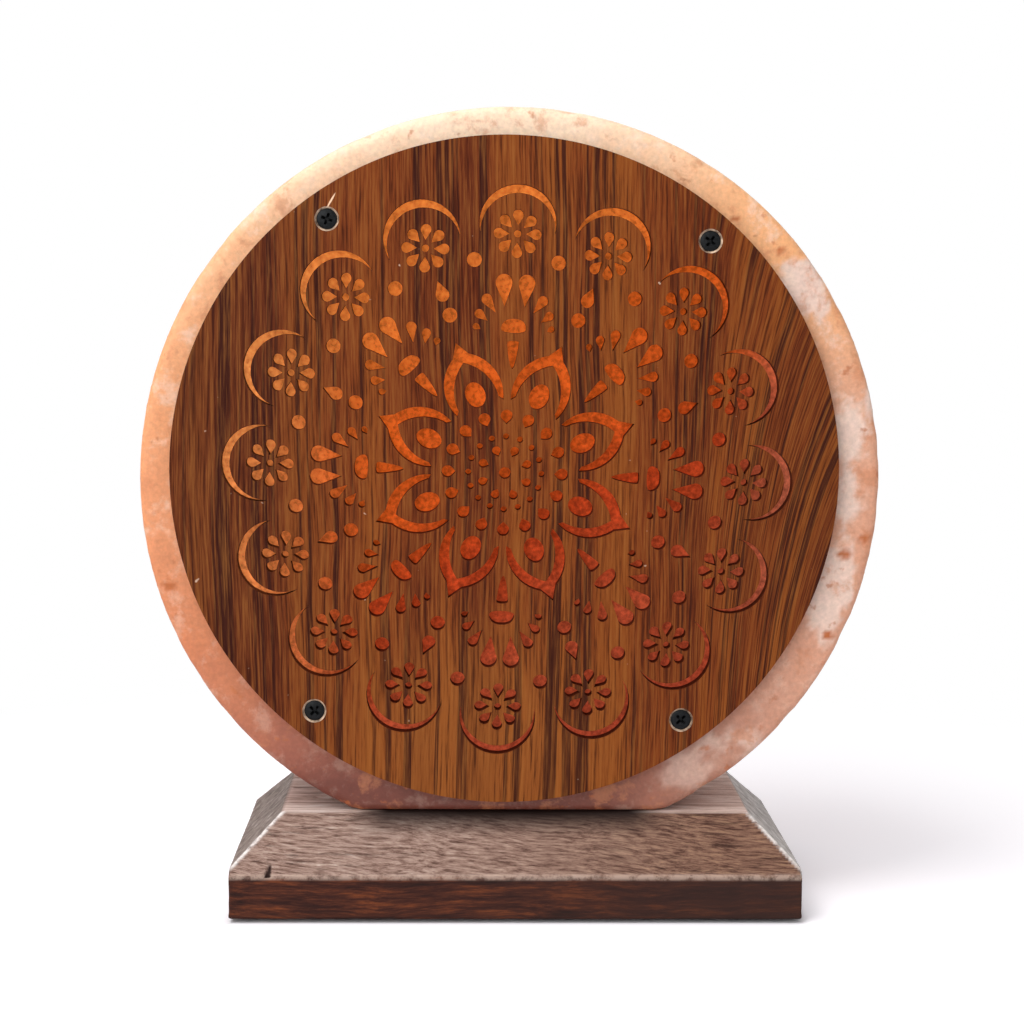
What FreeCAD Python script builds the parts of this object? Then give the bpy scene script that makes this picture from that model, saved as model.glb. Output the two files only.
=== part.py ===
"""Salt crystal lamp: a sawn salt drum behind a fretted wooden panel, on a bevelled wooden base.

Millimetres, +Z up, +X to the right of someone who faces the panel, +Y away from them.
The origin is on the surface that the lamp stands on, under the middle of the drum.
"""
import FreeCAD, Part
import math
import os

from FreeCAD import Vector

# ---------------------------------------------------------------- driving sizes

# Salt drum: a round slab standing on edge, sawn flat where it meets the base.
DRUM_RADIUS = 101.0
DRUM_THICKNESS = 50.0
DRUM_FLAT_CUT = 9.7            # height sawn off the drum's foot
DRUM_EDGE = 1.2                # ground edge round both faces

# Base: a block with a plain band at the bottom and four bevels up to a plateau.
BASE_WIDTH = 156.0
BASE_DEPTH = 80.0
BASE_HEIGHT = 26.5
BASE_SHIFT_X = 2.0             # the block sits a little to the right of the drum
BAND_FRONT = 12.0              # plain height below the front and back bevels
BAND_SIDE = 13.7               # plain height below the end bevels
PLATEAU_WIDTH = 129.4
PLATEAU_DEPTH = 52.0

# Felt pads under the base.
PAD_SIDE = 15.0
PAD_THICKNESS = 1.0
PAD_INSET = 6.0                # from the block's edges to the pads

# Fretted panel and its four screws.
PANEL_RADIUS = 90.5
PANEL_THICKNESS = 4.0
PANEL_SHIFT_X = -1.6           # the panel sits off the drum's centre
PANEL_SHIFT_Z = 2.6
PANEL_SCREW_CIRCLE = 83.2      # radius that the four screws lie on
PANEL_SCREW_ANGLES = (-35.3, 40.9, 144.2, 218.4)    # clockwise from the top
PANEL_SCREW_HEAD = 2.8         # radii
PANEL_SCREW_SHANK = 1.45
PANEL_SCREW_LENGTH = 20.0
PANEL_SCREW_SINK = 0.45        # head below the panel's face
PANEL_PLUG_RADIUS = 2.5
PANEL_PLUG_LENGTH = 20.0

# Screws that hold the drum down on the base, from below.
BASE_SCREW_SPACING = 64.0
BASE_SCREW_HEAD = 4.0
BASE_SCREW_HEAD_HEIGHT = 2.8
BASE_SCREW_SHANK = 2.0
BASE_SCREW_LENGTH = 40.0
BASE_SCREW_POCKET = 5.5        # radius of the pocket for the head
BASE_SCREW_POCKET_DEPTH = 10.0
BASE_PLUG_RADIUS = 3.0
BASE_PLUG_LENGTH = 28.0

# Bore for the bulb and its holder, up through base and salt, and the cord's way out.
BORE_RADIUS = 18.0
BORE_ABOVE_BULB = 3.5          # left above the bulb when it is unscrewed
GROOVE_WIDTH = 9.0
GROOVE_DEPTH = 8.0

# Push-in bulb holder.
HOLDER_RADIUS = 13.0
HOLDER_RECESS = 12.0           # cap's underside above the underside of the base
CAP_HEIGHT = 13.0
CAP_FLOOR = 4.0
CAP_WALL = 2.2
CAP_EASE = 1.5                 # eased lower edge
SHELL_HEIGHT = 31.0
SHELL_FLOOR = 5.0              # partition under the bulb's socket
TERMINAL_ROOM = 6.5            # open height under that partition
GLAND_RADIUS = 5.0
GLAND_FLANGE = 6.2
GLAND_FLANGE_HEIGHT = 1.6
CORD_ENTRY_RADIUS = 3.2

# Socket and bulb, small screw cap.
CAP_THREAD_RADIUS = 6.94       # bulb's threaded cap
THREAD_PITCH = 2.82
THREAD_TURNS = 5.0             # from tight to free
THREAD_SHELL_WALL = 0.45
CONTACT_STRIP = 0.6            # brass strip folded double on the socket's floor
BULB_CAP_LENGTH = 14.0
BULB_CAP_WALL = 0.4
BULB_INSULATOR_HEIGHT = 3.0
BULB_INSULATOR_TIP = 3.9
BULB_CONTACT_RADIUS = 2.4
BULB_CONTACT_HEIGHT = 1.2
BULB_NECK_RADIUS = 6.3
BULB_RADIUS = 12.5
BULB_SHOULDER = 9.0            # height over which the neck widens
BULB_BODY = 10.0               # straight stretch of the glass
BULB_WALL = 0.8
STEM_FOOT = 4.0                # radii of the glass mount inside
STEM_TOP = 1.4
LEAD_WIDTH = 0.6
FILAMENT_SPAN = 12.0
FILAMENT_RADIUS = 0.5
FILAMENT_RISE = 5.0            # above the stem

# Spring clips either side of the holder.
CLIP_WIDTH = 6.0
CLIP_THICKNESS = 0.7
CLIP_DROP = 24.0               # pivot down to the toe
CLIP_EYE_RADIUS = 1.6
CLIP_PIN_RADIUS = 0.8
CLIP_PIVOT_OUT = 2.3           # pivot outside the holder's flats
CLIP_PIVOT_HEIGHT = 18.0       # pivot above the shell's lower end
CLIP_TOE = 1.4
LUG_THICKNESS = 1.8
LUG_HEIGHT = 5.0

# Clearances.
SEAT = 0.02                    # pieces screwed or pressed together
RUN = 0.05                     # pieces that turn or slide on each other
CLEAR = 0.3                    # pieces that pass without touching

# Flats that the small round pieces are drawn with.
SCREW_SIDES = 10
PIN_SIDES = 8
GLAND_SIDES = 12
THREAD_SIDES = 20
HOLDER_SIDES = 20
GLASS_END_STEPS = 3

# Fret: one drawing repeated round the mandala's centre, radii from that centre.
FRET_SHIFT_X = 0.6             # mandala's centre from the panel's centre
FRET_SHIFT_Z = 0.25
FRET_TURN = 2.0                # degrees clockwise
STAR_SHIFT_X = -0.75           # the petals and all inside them, from the mandala's centre
STAR_TURN = -0.6
RING = 16                      # repeats in the outer rings
STAR = 8                       # repeats inside

DAISY_RING = 64.2
DAISY_PETALS = 8
DAISY_PETAL_IN = 2.2
DAISY_PETAL_OUT = 6.46
DAISY_PETAL_WIDTH = 2.9
DAISY_EYE = 1.0
CRESCENT_RING = 67.0           # centre of a crescent's outer arc
CRESCENT_OUTER = 10.35
CRESCENT_INNER = 10.0
CRESCENT_OFFSET = 2.0          # inner arc's centre, nearer the mandala's centre
PEARL_RING = 58.0
PEARL_RADIUS = 2.0
BUD_RING = 52.0
BUD_LENGTH = 5.8
BUD_WIDTH = 3.7
BEAD_RING = 45.2
BEAD_RADIUS = 2.0
LEAF_RING = 49.1
LEAF_ANGLE = 3.45
LEAF_LENGTH = 8.8
LEAF_WIDTH = 4.6
SPRAY = (                      # ring radius, angle, outward lean, length, width
    (45.8, 8.4, 28.0, 5.8, 2.9),
    (42.9, 11.8, 40.0, 4.2, 2.5),
    (40.2, 14.3, 45.0, 2.3, 1.8),
)
BEAN_RING = 39.6
BEAN_WIDTH = 7.1
BEAN_HEIGHT = 3.8
WEDGE_RING = 31.9
WEDGE_LENGTH = 7.5
WEDGE_WIDE = 3.5
WEDGE_NARROW = 1.1
TULIP_TIP = 37.4
TULIP_NECK = (2.25, 33.6)      # across, along: where the pointed tip meets the round flank
TULIP_FLANK = (7.7, 25.4)
TULIP_FOOT = (6.7, 18.7)
TULIP_INSIDE_FOOT = (5.75, 19.9)
TULIP_INSIDE_FLANK = (4.9, 25.8)
TULIP_VAULT = 31.6
SEED_RING = 22.5
SEED_LENGTH = 7.1
SEED_WIDTH = 5.4
CROWN_RING = 15.2
CROWN_LENGTH = 3.9
CROWN_WIDTH = 3.3
SPECK_RING = 9.9
SPECK_RADIUS = 0.85
HEART_RING = 6.2
HEART_LENGTH = 2.9
HEART_WIDTH = 2.4
HUB_RADIUS = 1.6

# ---------------------------------------------------------------- worked-out places

BASE_BOTTOM = PAD_THICKNESS
BASE_TOP = BASE_BOTTOM + BASE_HEIGHT
DRUM_FLAT_DROP = DRUM_RADIUS - DRUM_FLAT_CUT
DRUM_CENTRE_Z = BASE_TOP + DRUM_FLAT_DROP
DRUM_FRONT = -DRUM_THICKNESS / 2
PANEL_FRONT = DRUM_FRONT - PANEL_THICKNESS
PANEL_X = PANEL_SHIFT_X
PANEL_Z = DRUM_CENTRE_Z + PANEL_SHIFT_Z

CAP_BOTTOM = BASE_BOTTOM + HOLDER_RECESS
SHELL_BOTTOM = CAP_BOTTOM + CAP_HEIGHT
SHELL_TOP = SHELL_BOTTOM + SHELL_HEIGHT
SOCKET_FLOOR = SHELL_BOTTOM + TERMINAL_ROOM + SHELL_FLOOR
THREAD_BORE = CAP_THREAD_RADIUS + RUN
SOCKET_RADIUS = THREAD_BORE + THREAD_SHELL_WALL + SEAT
CONTACT_TOP = SOCKET_FLOOR + 2 * CONTACT_STRIP
BULB_BOTTOM = CONTACT_TOP + RUN
BULB_CAP_BOTTOM = BULB_BOTTOM + BULB_CONTACT_HEIGHT + BULB_INSULATOR_HEIGHT
GLASS_SHOULDER_Z = BULB_CAP_BOTTOM + BULB_CAP_LENGTH
GLASS_BOTTOM = BULB_CAP_BOTTOM + BULB_NECK_RADIUS
GLASS_BODY_BOTTOM = GLASS_SHOULDER_Z + BULB_SHOULDER
GLASS_BODY_TOP = GLASS_BODY_BOTTOM + BULB_BODY
GLASS_TOP = GLASS_BODY_TOP + BULB_RADIUS
FILAMENT_Z = GLASS_BODY_BOTTOM + FILAMENT_RISE
UNSCREW_RISE = THREAD_PITCH * THREAD_TURNS
BORE_TOP = GLASS_TOP + UNSCREW_RISE + BORE_ABOVE_BULB

HOLDER_FLAT = HOLDER_RADIUS * math.cos(math.pi / HOLDER_SIDES)
PIVOT_X = HOLDER_FLAT + CLIP_PIVOT_OUT
PIVOT_Z = SHELL_BOTTOM + CLIP_PIVOT_HEIGHT
LAID_BACK = -90                # tip about X that lays a standing piece along +Y


# ---------------------------------------------------------------- shapes in general

def round_bore(radius, bottom, top):
    """True cylinder about Z, for the holes that something round passes through or turns in."""
    return Part.makeCylinder(radius, top - bottom, Vector(0, 0, bottom))


def turned(outline, sides=HOLDER_SIDES):
    """Many-sided solid about Z from closed (radius, height) corners, a flat facing +X."""
    turns = [2 * math.pi * (k + 0.5) / sides for k in range(sides + 1)]
    faces = []
    for (r0, z0), (r1, z1) in zip(outline, outline[1:] + outline[:1]):
        if r0 == 0 and r1 == 0:
            continue
        for a, b in zip(turns, turns[1:]):
            corners = [Vector(r * math.cos(t), r * math.sin(t), z)
                       for r, z, t in ((r0, z0, a), (r0, z0, b), (r1, z1, b), (r1, z1, a))]
            if r0 == 0:
                corners = corners[1:]
            if r1 == 0:
                corners = corners[:3]
            faces.append(Part.Face(Part.makePolygon(corners + corners[:1])))
    solid = Part.Solid(Part.Shell(faces)).removeSplitter()
    if solid.Volume < 0:
        solid.reverse()
    return solid


def across_flats(radius, sides):
    """Radius to the corners of a many-sided hole whose flats lie at this radius."""
    return radius / math.cos(math.pi / sides)


def laid(shape, place, turn_x=0.0):
    """Shape tipped about X and moved to its place."""
    shape.rotate(Vector(0, 0, 0), Vector(1, 0, 0), turn_x)
    shape.translate(Vector(*place))
    return shape


def prism(outline, depth, normal):
    """Solid from closed corners, pushed along normal by depth."""
    face = Part.Face(Part.makePolygon(outline + outline[:1]))
    return face.extrude(normal * depth)


def box(x_range, y_range, z_range):
    corner = Vector(x_range[0], y_range[0], z_range[0])
    return Part.makeBox(x_range[1] - x_range[0], y_range[1] - y_range[0],
                        z_range[1] - z_range[0], corner)


def write(name, solids):
    """One STEP file for a piece, or for a group of like pieces."""
    shape = solids[0] if len(solids) == 1 else Part.makeCompound(solids)
    shape.exportStep("parts/" + name + ".step")


# ---------------------------------------------------------------- outlines of the fret
# Outlines are (across, outward) corners. Small cut-outs are drawn with few straight
# sides, as coarse as their size allows.

def round_hole(radius, sides):
    steps = [2 * math.pi * (k + 0.5) / sides for k in range(sides)]
    return [(radius * math.sin(a), radius * math.cos(a)) for a in steps]


def oval(length, width, sides):
    return [(width * x, length * y) for x, y in round_hole(0.5, sides)]


def drop(length, width, sides):
    """Teardrop with its point inward: a point and an arc tangent to its two sides."""
    end = width / 2
    centre = length / 2 - end
    half_arc = math.pi / 2 + math.asin(end / (length - end))
    arc = [half_arc * (2 * k / (sides - 2) - 1) for k in range(sides - 1)]
    return [(0, -length / 2)] + [(end * math.sin(a), centre + end * math.cos(a)) for a in arc]


def crescent(outer, inner, offset, sides):
    """What an outer circle leaves outside an inner one set back by offset."""
    tip_y = (inner ** 2 - outer ** 2 - offset ** 2) / (2 * offset)
    tip_x = math.sqrt(outer ** 2 - tip_y ** 2)
    outer_half = math.atan2(tip_x, tip_y)
    inner_half = math.atan2(tip_x, tip_y + offset)
    half = sides // 2
    turns = [2 * k / half - 1 for k in range(half + 1)]
    outside = [(outer * math.sin(outer_half * t), outer * math.cos(outer_half * t))
               for t in turns]
    inside = [(inner * math.sin(inner_half * t), inner * math.cos(inner_half * t) - offset)
              for t in reversed(turns[1:-1])]
    return outside + inside


def bean(width, height):
    """Low cap: flat foot, round shoulders."""
    right = [(0.36 * width, -height / 2), (width / 2, -0.1 * height), (0.3 * width, height / 2)]
    return right + [(-x, y) for x, y in reversed(right)]


def wedge(length, wide, narrow):
    right = [(narrow / 2, -length / 2), (wide / 2, 0.42 * length), (0.3 * wide, length / 2)]
    return right + [(-x, y) for x, y in reversed(right)]


def arc_through(start, middle, end, steps):
    """Points on the circle through three points, both ends included."""
    arc = Part.Arc(*[Vector(x, y, 0) for x, y in (start, middle, end)])
    first, last = arc.FirstParameter, arc.LastParameter
    points = [arc.value(first + (last - first) * k / steps) for k in range(steps + 1)]
    return [(p.x, p.y) for p in points]


def tulip():
    """Pointed petal drawn as a band, open at its foot."""
    outside = arc_through(TULIP_NECK, TULIP_FLANK, TULIP_FOOT, 4)
    vault = (0.0, TULIP_VAULT)
    inside = arc_through(TULIP_INSIDE_FOOT, TULIP_INSIDE_FLANK, vault, 3)
    right = outside + inside[:-1]
    left = [(-x, y) for x, y in reversed(right)]
    return [(0.0, TULIP_TIP)] + right + [vault] + left


def placed(outline, ring, angle, lean=0.0):
    """Outline moved out to a ring at an angle, leaning clockwise from the outward way."""
    turn = math.radians(angle + lean)
    at = math.radians(angle)
    centre = (ring * math.sin(at), ring * math.cos(at))
    return [(centre[0] + x * math.cos(turn) + y * math.sin(turn),
             centre[1] - x * math.sin(turn) + y * math.cos(turn)) for x, y in outline]


def daisy(angle):
    """Eight drops and an eye. Every daisy stands upright, wherever it lies."""
    petal_length = DAISY_PETAL_OUT - DAISY_PETAL_IN
    petal_ring = DAISY_PETAL_IN + petal_length / 2
    petal = drop(petal_length, DAISY_PETAL_WIDTH, 5)
    at = math.radians(angle)
    centre = (DAISY_RING * math.sin(at), DAISY_RING * math.cos(at))
    outlines = [round_hole(DAISY_EYE, 4)]
    for k in range(DAISY_PETALS):
        outlines.append(placed(petal, petal_ring, FRET_TURN + 360.0 * k / DAISY_PETALS))
    return [[(centre[0] + x, centre[1] + y) for x, y in outline] for outline in outlines]


def outer_rings():
    """Daisies under their crescents, with a pearl in each gap."""
    outlines = []
    hood = crescent(CRESCENT_OUTER, CRESCENT_INNER, CRESCENT_OFFSET, 12)
    for k in range(RING):
        angle = FRET_TURN + 360.0 * k / RING
        outlines += daisy(angle)
        outlines.append(placed(hood, CRESCENT_RING, angle))
        outlines.append(placed(round_hole(PEARL_RADIUS, 8), PEARL_RING, angle + 180.0 / RING))
    return outlines


def sprays():
    """Leaves, flank drops, bean and wedge, under every other daisy."""
    outlines = []
    for k in range(STAR):
        angle = FRET_TURN + 360.0 * k / STAR
        for side in (-1, 1):
            leaf = drop(LEAF_LENGTH, LEAF_WIDTH, 6)
            outlines.append(placed(leaf, LEAF_RING, angle + side * LEAF_ANGLE))
            for ring, away, lean, length, width in SPRAY:
                flank = drop(length, width, 5 if length > 3 else 4)
                outlines.append(placed(flank, ring, angle + side * away, side * lean))
        outlines.append(placed(bean(BEAN_WIDTH, BEAN_HEIGHT), BEAN_RING, angle))
        outlines.append(placed(wedge(WEDGE_LENGTH, WEDGE_WIDE, WEDGE_NARROW), WEDGE_RING, angle))
    return outlines


def buds():
    """A bud and a bead under the daisies between the sprays."""
    outlines = []
    for k in range(STAR):
        angle = FRET_TURN + 360.0 * (k + 0.5) / STAR
        outlines.append(placed(drop(BUD_LENGTH, BUD_WIDTH, 6), BUD_RING, angle, 180.0))
        outlines.append(placed(round_hole(BEAD_RADIUS, 6), BEAD_RING, angle))
    return outlines


def star():
    """Pointed petals with their seeds, and small rings round the hub."""
    outlines = [round_hole(HUB_RADIUS, 6)]
    turn = FRET_TURN + STAR_TURN
    for k in range(STAR):
        angle = turn + 360.0 * (k + 0.5) / STAR
        outlines.append(placed(tulip(), 0.0, angle))
        outlines.append(placed(oval(SEED_LENGTH, SEED_WIDTH, 8), SEED_RING, angle))
        outlines.append(placed(drop(HEART_LENGTH, HEART_WIDTH, 5), HEART_RING, angle))
    for k in range(2 * STAR):
        angle = turn + 180.0 * k / STAR
        outlines.append(placed(drop(CROWN_LENGTH, CROWN_WIDTH, 5), CROWN_RING, angle))
        outlines.append(placed(round_hole(SPECK_RADIUS, 4), SPECK_RING, angle))
    return [[(x + STAR_SHIFT_X, y) for x, y in outline] for outline in outlines]


# ---------------------------------------------------------------- wood and salt

def screw_places():
    """Where the panel's screws enter, as (x, z)."""
    places = []
    for angle in PANEL_SCREW_ANGLES:
        at = math.radians(angle)
        places.append((PANEL_X + PANEL_SCREW_CIRCLE * math.sin(at),
                       PANEL_Z + PANEL_SCREW_CIRCLE * math.cos(at)))
    return places


def fret_panel():
    """Thin disc, cut through by the mandala and countersunk for its screws."""
    centre = Vector(PANEL_X, PANEL_FRONT, PANEL_Z)
    rim = Part.Wire(Part.makeCircle(PANEL_RADIUS, centre, Vector(0, -1, 0)))
    x_fret = PANEL_X + FRET_SHIFT_X
    z_fret = PANEL_Z + FRET_SHIFT_Z
    wires = [rim]
    for outline in outer_rings() + sprays() + buds() + star():
        corners = [Vector(x_fret + x, PANEL_FRONT, z_fret + y) for x, y in outline]
        wires.append(Part.makePolygon(corners + corners[:1]))
    panel = Part.makeFace(wires, "Part::FaceMakerCheese").extrude(Vector(0, PANEL_THICKNESS, 0))
    cutters = [laid(screw_hole(), (x, PANEL_FRONT, z), LAID_BACK) for x, z in screw_places()]
    return panel.cut(cutters)


def screw_hole():
    """Countersunk hole through the panel, standing on its mouth."""
    mouth = PANEL_SCREW_HEAD + PANEL_SCREW_SINK + SEAT
    shank = PANEL_SCREW_SHANK + SEAT
    return turned([(0, 0), (mouth, 0), (shank, mouth - shank), (shank, PANEL_THICKNESS),
                   (0, PANEL_THICKNESS)], SCREW_SIDES)


def salt_drum():
    """Round slab with a sawn flat, bored from below for the bulb."""
    half_flat = math.sqrt(DRUM_RADIUS ** 2 - DRUM_FLAT_DROP ** 2)
    left = Vector(-half_flat, DRUM_FRONT, BASE_TOP)
    right = Vector(half_flat, DRUM_FRONT, BASE_TOP)
    top = Vector(0, DRUM_FRONT, DRUM_CENTRE_Z + DRUM_RADIUS)
    edges = [Part.LineSegment(right, left).toShape(), Part.Arc(left, top, right).toShape()]
    slab = Part.Face(Part.Wire(edges)).extrude(Vector(0, DRUM_THICKNESS, 0))
    rims = [edge for edge in slab.Edges
            if abs(edge.BoundBox.YMin - edge.BoundBox.YMax) < 1e-6]
    slab = slab.makeChamfer(DRUM_EDGE, rims)
    cutters = [round_bore(BORE_RADIUS, BASE_TOP, BORE_TOP)]
    for x, z in screw_places():
        hole = plug_hole(PANEL_PLUG_RADIUS, PANEL_PLUG_LENGTH)
        cutters.append(laid(hole, (x, DRUM_FRONT, z), LAID_BACK))
    for x in base_screw_places():
        cutters.append(laid(plug_hole(BASE_PLUG_RADIUS, BASE_PLUG_LENGTH), (x, 0, BASE_TOP)))
    return slab.cut(cutters)


def base_screw_places():
    return (-BASE_SCREW_SPACING / 2, BASE_SCREW_SPACING / 2)


def base_block():
    """Bevelled block: a long section and a cross section, each pushed through the other."""
    half_depth, half_width = BASE_DEPTH / 2, BASE_WIDTH / 2
    section = [Vector(BASE_SHIFT_X - half_width, y, BASE_BOTTOM + z) for y, z in (
        (-half_depth, 0), (half_depth, 0), (half_depth, BAND_FRONT),
        (PLATEAU_DEPTH / 2, BASE_HEIGHT), (-PLATEAU_DEPTH / 2, BASE_HEIGHT),
        (-half_depth, BAND_FRONT))]
    outline = [Vector(BASE_SHIFT_X + x, -half_depth, BASE_BOTTOM + z) for x, z in (
        (-half_width, 0), (half_width, 0), (half_width, BAND_SIDE),
        (PLATEAU_WIDTH / 2, BASE_HEIGHT), (-PLATEAU_WIDTH / 2, BASE_HEIGHT),
        (-half_width, BAND_SIDE))]
    block = prism(section, BASE_WIDTH, Vector(1, 0, 0)).common(
        prism(outline, BASE_DEPTH, Vector(0, 1, 0)))
    cutters = [round_bore(BORE_RADIUS, BASE_BOTTOM, BASE_TOP)]
    for x in base_screw_places():
        pocket = turned([(0, 0), (BASE_SCREW_POCKET, 0),
                         (BASE_SCREW_POCKET, BASE_SCREW_POCKET_DEPTH),
                         (BASE_SCREW_SHANK + SEAT, BASE_SCREW_POCKET_DEPTH),
                         (BASE_SCREW_SHANK + SEAT, BASE_HEIGHT), (0, BASE_HEIGHT)], SCREW_SIDES)
        cutters.append(laid(pocket, (x, 0, BASE_BOTTOM)))
    cutters.append(box((-GROOVE_WIDTH / 2, GROOVE_WIDTH / 2), (0, BASE_DEPTH),
                       (BASE_BOTTOM, BASE_BOTTOM + GROOVE_DEPTH)))
    return block.cut(cutters)


def pads():
    """Felt squares at the block's corners."""
    out_x = BASE_WIDTH / 2 - PAD_INSET - PAD_SIDE
    out_y = BASE_DEPTH / 2 - PAD_INSET - PAD_SIDE
    squares = []
    for x in (BASE_SHIFT_X - out_x - PAD_SIDE, BASE_SHIFT_X + out_x):
        for y in (-out_y - PAD_SIDE, out_y):
            squares.append(box((x, x + PAD_SIDE), (y, y + PAD_SIDE), (0, PAD_THICKNESS)))
    return squares


# ---------------------------------------------------------------- screws and plugs

def panel_screw():
    """Countersunk wood screw, standing on its head."""
    neck = PANEL_SCREW_HEAD - PANEL_SCREW_SHANK
    taper = PANEL_SCREW_LENGTH - 2 * PANEL_SCREW_SHANK
    return turned([(0, 0), (PANEL_SCREW_HEAD, 0), (PANEL_SCREW_SHANK, neck),
                   (PANEL_SCREW_SHANK, taper), (0, PANEL_SCREW_LENGTH)], SCREW_SIDES)


def base_screw():
    """Pan-head wood screw, standing on its head."""
    shoulder = BASE_SCREW_HEAD_HEIGHT
    tip = shoulder + BASE_SCREW_LENGTH
    return turned([(0, 0), (BASE_SCREW_HEAD, 0), (BASE_SCREW_HEAD, shoulder),
                   (BASE_SCREW_SHANK, shoulder), (BASE_SCREW_SHANK, tip - 2 * BASE_SCREW_SHANK),
                   (0, tip)], SCREW_SIDES)


def plug(radius, bore, length):
    """Nylon plug, standing on its open mouth."""
    reach = length - radius
    return turned([(bore, 0), (radius, 0), (radius, length), (0, length), (0, reach),
                   (bore, reach)], SCREW_SIDES)


def plug_hole(radius, length):
    outer = radius + SEAT
    depth = length + CLEAR
    return turned([(0, 0), (outer, 0), (outer, depth), (0, depth)], SCREW_SIDES)


# ---------------------------------------------------------------- bulb holder

def holder_cap():
    """Lower cup, with the cord's entry in its floor."""
    top = CAP_BOTTOM + CAP_HEIGHT
    floor = CAP_BOTTOM + CAP_FLOOR
    room = HOLDER_RADIUS - CAP_WALL
    cup = turned([(0, CAP_BOTTOM), (HOLDER_RADIUS - CAP_EASE, CAP_BOTTOM),
                  (HOLDER_RADIUS, CAP_BOTTOM + CAP_EASE), (HOLDER_RADIUS, top), (room, top),
                  (room, floor), (0, floor)])
    entry = turned([(0, CAP_BOTTOM), (GLAND_RADIUS + SEAT, CAP_BOTTOM),
                    (GLAND_RADIUS + SEAT, floor), (0, floor)], GLAND_SIDES)
    return cup.cut(entry)


def holder_shell():
    """Upper sleeve: socket above, partition, room for the terminals, lugs for the clips."""
    room = HOLDER_RADIUS - CAP_WALL
    ceiling = SHELL_BOTTOM + TERMINAL_ROOM
    body = turned([(0, ceiling), (room, ceiling), (room, SHELL_BOTTOM),
                   (HOLDER_RADIUS, SHELL_BOTTOM), (HOLDER_RADIUS, SHELL_TOP), (0, SHELL_TOP)])
    socket = turned([(0, SOCKET_FLOOR), (across_flats(SOCKET_RADIUS, THREAD_SIDES), SOCKET_FLOOR),
                     (across_flats(SOCKET_RADIUS, THREAD_SIDES), SHELL_TOP), (0, SHELL_TOP)],
                    THREAD_SIDES)
    lugs = []
    for side in (-1, 1):
        root = side * (HOLDER_FLAT - 1)
        nose = side * (PIVOT_X + CLIP_EYE_RADIUS)
        for y in (CLIP_WIDTH / 2 + CLEAR, -CLIP_WIDTH / 2 - CLEAR - LUG_THICKNESS):
            lugs.append(box(sorted((root, nose)), (y, y + LUG_THICKNESS),
                            (PIVOT_Z - LUG_HEIGHT / 2, PIVOT_Z + LUG_HEIGHT / 2)))
    pins = [clip_pin(side, CLIP_PIN_RADIUS + SEAT) for side in (-1, 1)]
    return body.fuse(lugs).cut([socket] + pins).removeSplitter()


def clip_pin(side, radius):
    """Pin through both lugs of one clip, or the hole for it."""
    span = CLIP_WIDTH + 2 * CLEAR + 2 * LUG_THICKNESS
    pin = turned([(0, 0), (radius, 0), (radius, span), (0, span)], PIN_SIDES)
    return laid(pin, (side * PIVOT_X, -span / 2, PIVOT_Z), LAID_BACK)


def cord_gland():
    """Nylon bush in the cap's floor, its flange inside the cap."""
    seat = CAP_BOTTOM + CAP_FLOOR + SEAT
    top = seat + GLAND_FLANGE_HEIGHT
    bush = turned([(0, CAP_BOTTOM), (GLAND_RADIUS, CAP_BOTTOM), (GLAND_RADIUS, seat),
                   (GLAND_FLANGE, seat), (GLAND_FLANGE, top), (0, top)], GLAND_SIDES)
    return bush.cut(round_bore(CORD_ENTRY_RADIUS, CAP_BOTTOM, top))


def thread_shell():
    """Brass sleeve that the bulb screws into."""
    bore = across_flats(THREAD_BORE, THREAD_SIDES)
    outer = across_flats(THREAD_BORE + THREAD_SHELL_WALL, THREAD_SIDES)
    top = BULB_CAP_BOTTOM + BULB_CAP_LENGTH - CLEAR
    bottom = SOCKET_FLOOR + BULB_INSULATOR_HEIGHT
    return turned([(bore, bottom), (outer, bottom), (outer, top), (bore, top)], THREAD_SIDES)


def centre_contact():
    """Folded brass strip on the socket's floor, under the bulb's tip."""
    reach = BULB_CONTACT_RADIUS + 1.5
    half = BULB_CONTACT_RADIUS
    foot = SOCKET_FLOOR + SEAT
    outline = [Vector(x, -half, z) for x, z in (
        (-reach, foot), (reach, foot), (reach, foot + CONTACT_STRIP),
        (half, foot + CONTACT_STRIP), (half, CONTACT_TOP), (-reach, CONTACT_TOP))]
    return prism(outline, 2 * half, Vector(0, 1, 0))


def clip(side):
    """Leaf spring on its pin, pressed in by the bore's wall, toe turned in."""
    toe_z = PIVOT_Z - CLIP_DROP
    toe_x = math.sqrt(BORE_RADIUS ** 2 - (CLIP_WIDTH / 2) ** 2) - RUN
    top_x = PIVOT_X + CLIP_EYE_RADIUS * math.cos(math.pi / PIN_SIDES)
    inner_x = top_x - CLIP_THICKNESS
    outline = [(inner_x, PIVOT_Z), (top_x, PIVOT_Z), (toe_x, toe_z),
               (toe_x - CLIP_TOE, toe_z - CLIP_TOE),
               (toe_x - CLIP_TOE - CLIP_THICKNESS, toe_z - CLIP_TOE),
               (toe_x - CLIP_THICKNESS, toe_z)]
    corners = [Vector(side * x, -CLIP_WIDTH / 2, z) for x, z in outline]
    leaf = prism(corners, CLIP_WIDTH, Vector(0, 1, 0))
    eye = turned([(0, 0), (CLIP_EYE_RADIUS, 0), (CLIP_EYE_RADIUS, CLIP_WIDTH),
                  (0, CLIP_WIDTH)], PIN_SIDES)
    eye = laid(eye, (side * PIVOT_X, -CLIP_WIDTH / 2, PIVOT_Z), LAID_BACK)
    hole = round_bore(CLIP_PIN_RADIUS + RUN, -CLEAR, CLIP_WIDTH + CLEAR)
    hole = laid(hole, (side * PIVOT_X, -CLIP_WIDTH / 2, PIVOT_Z), LAID_BACK)
    return leaf.fuse(eye).cut(hole).removeSplitter()


# ---------------------------------------------------------------- bulb

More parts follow.
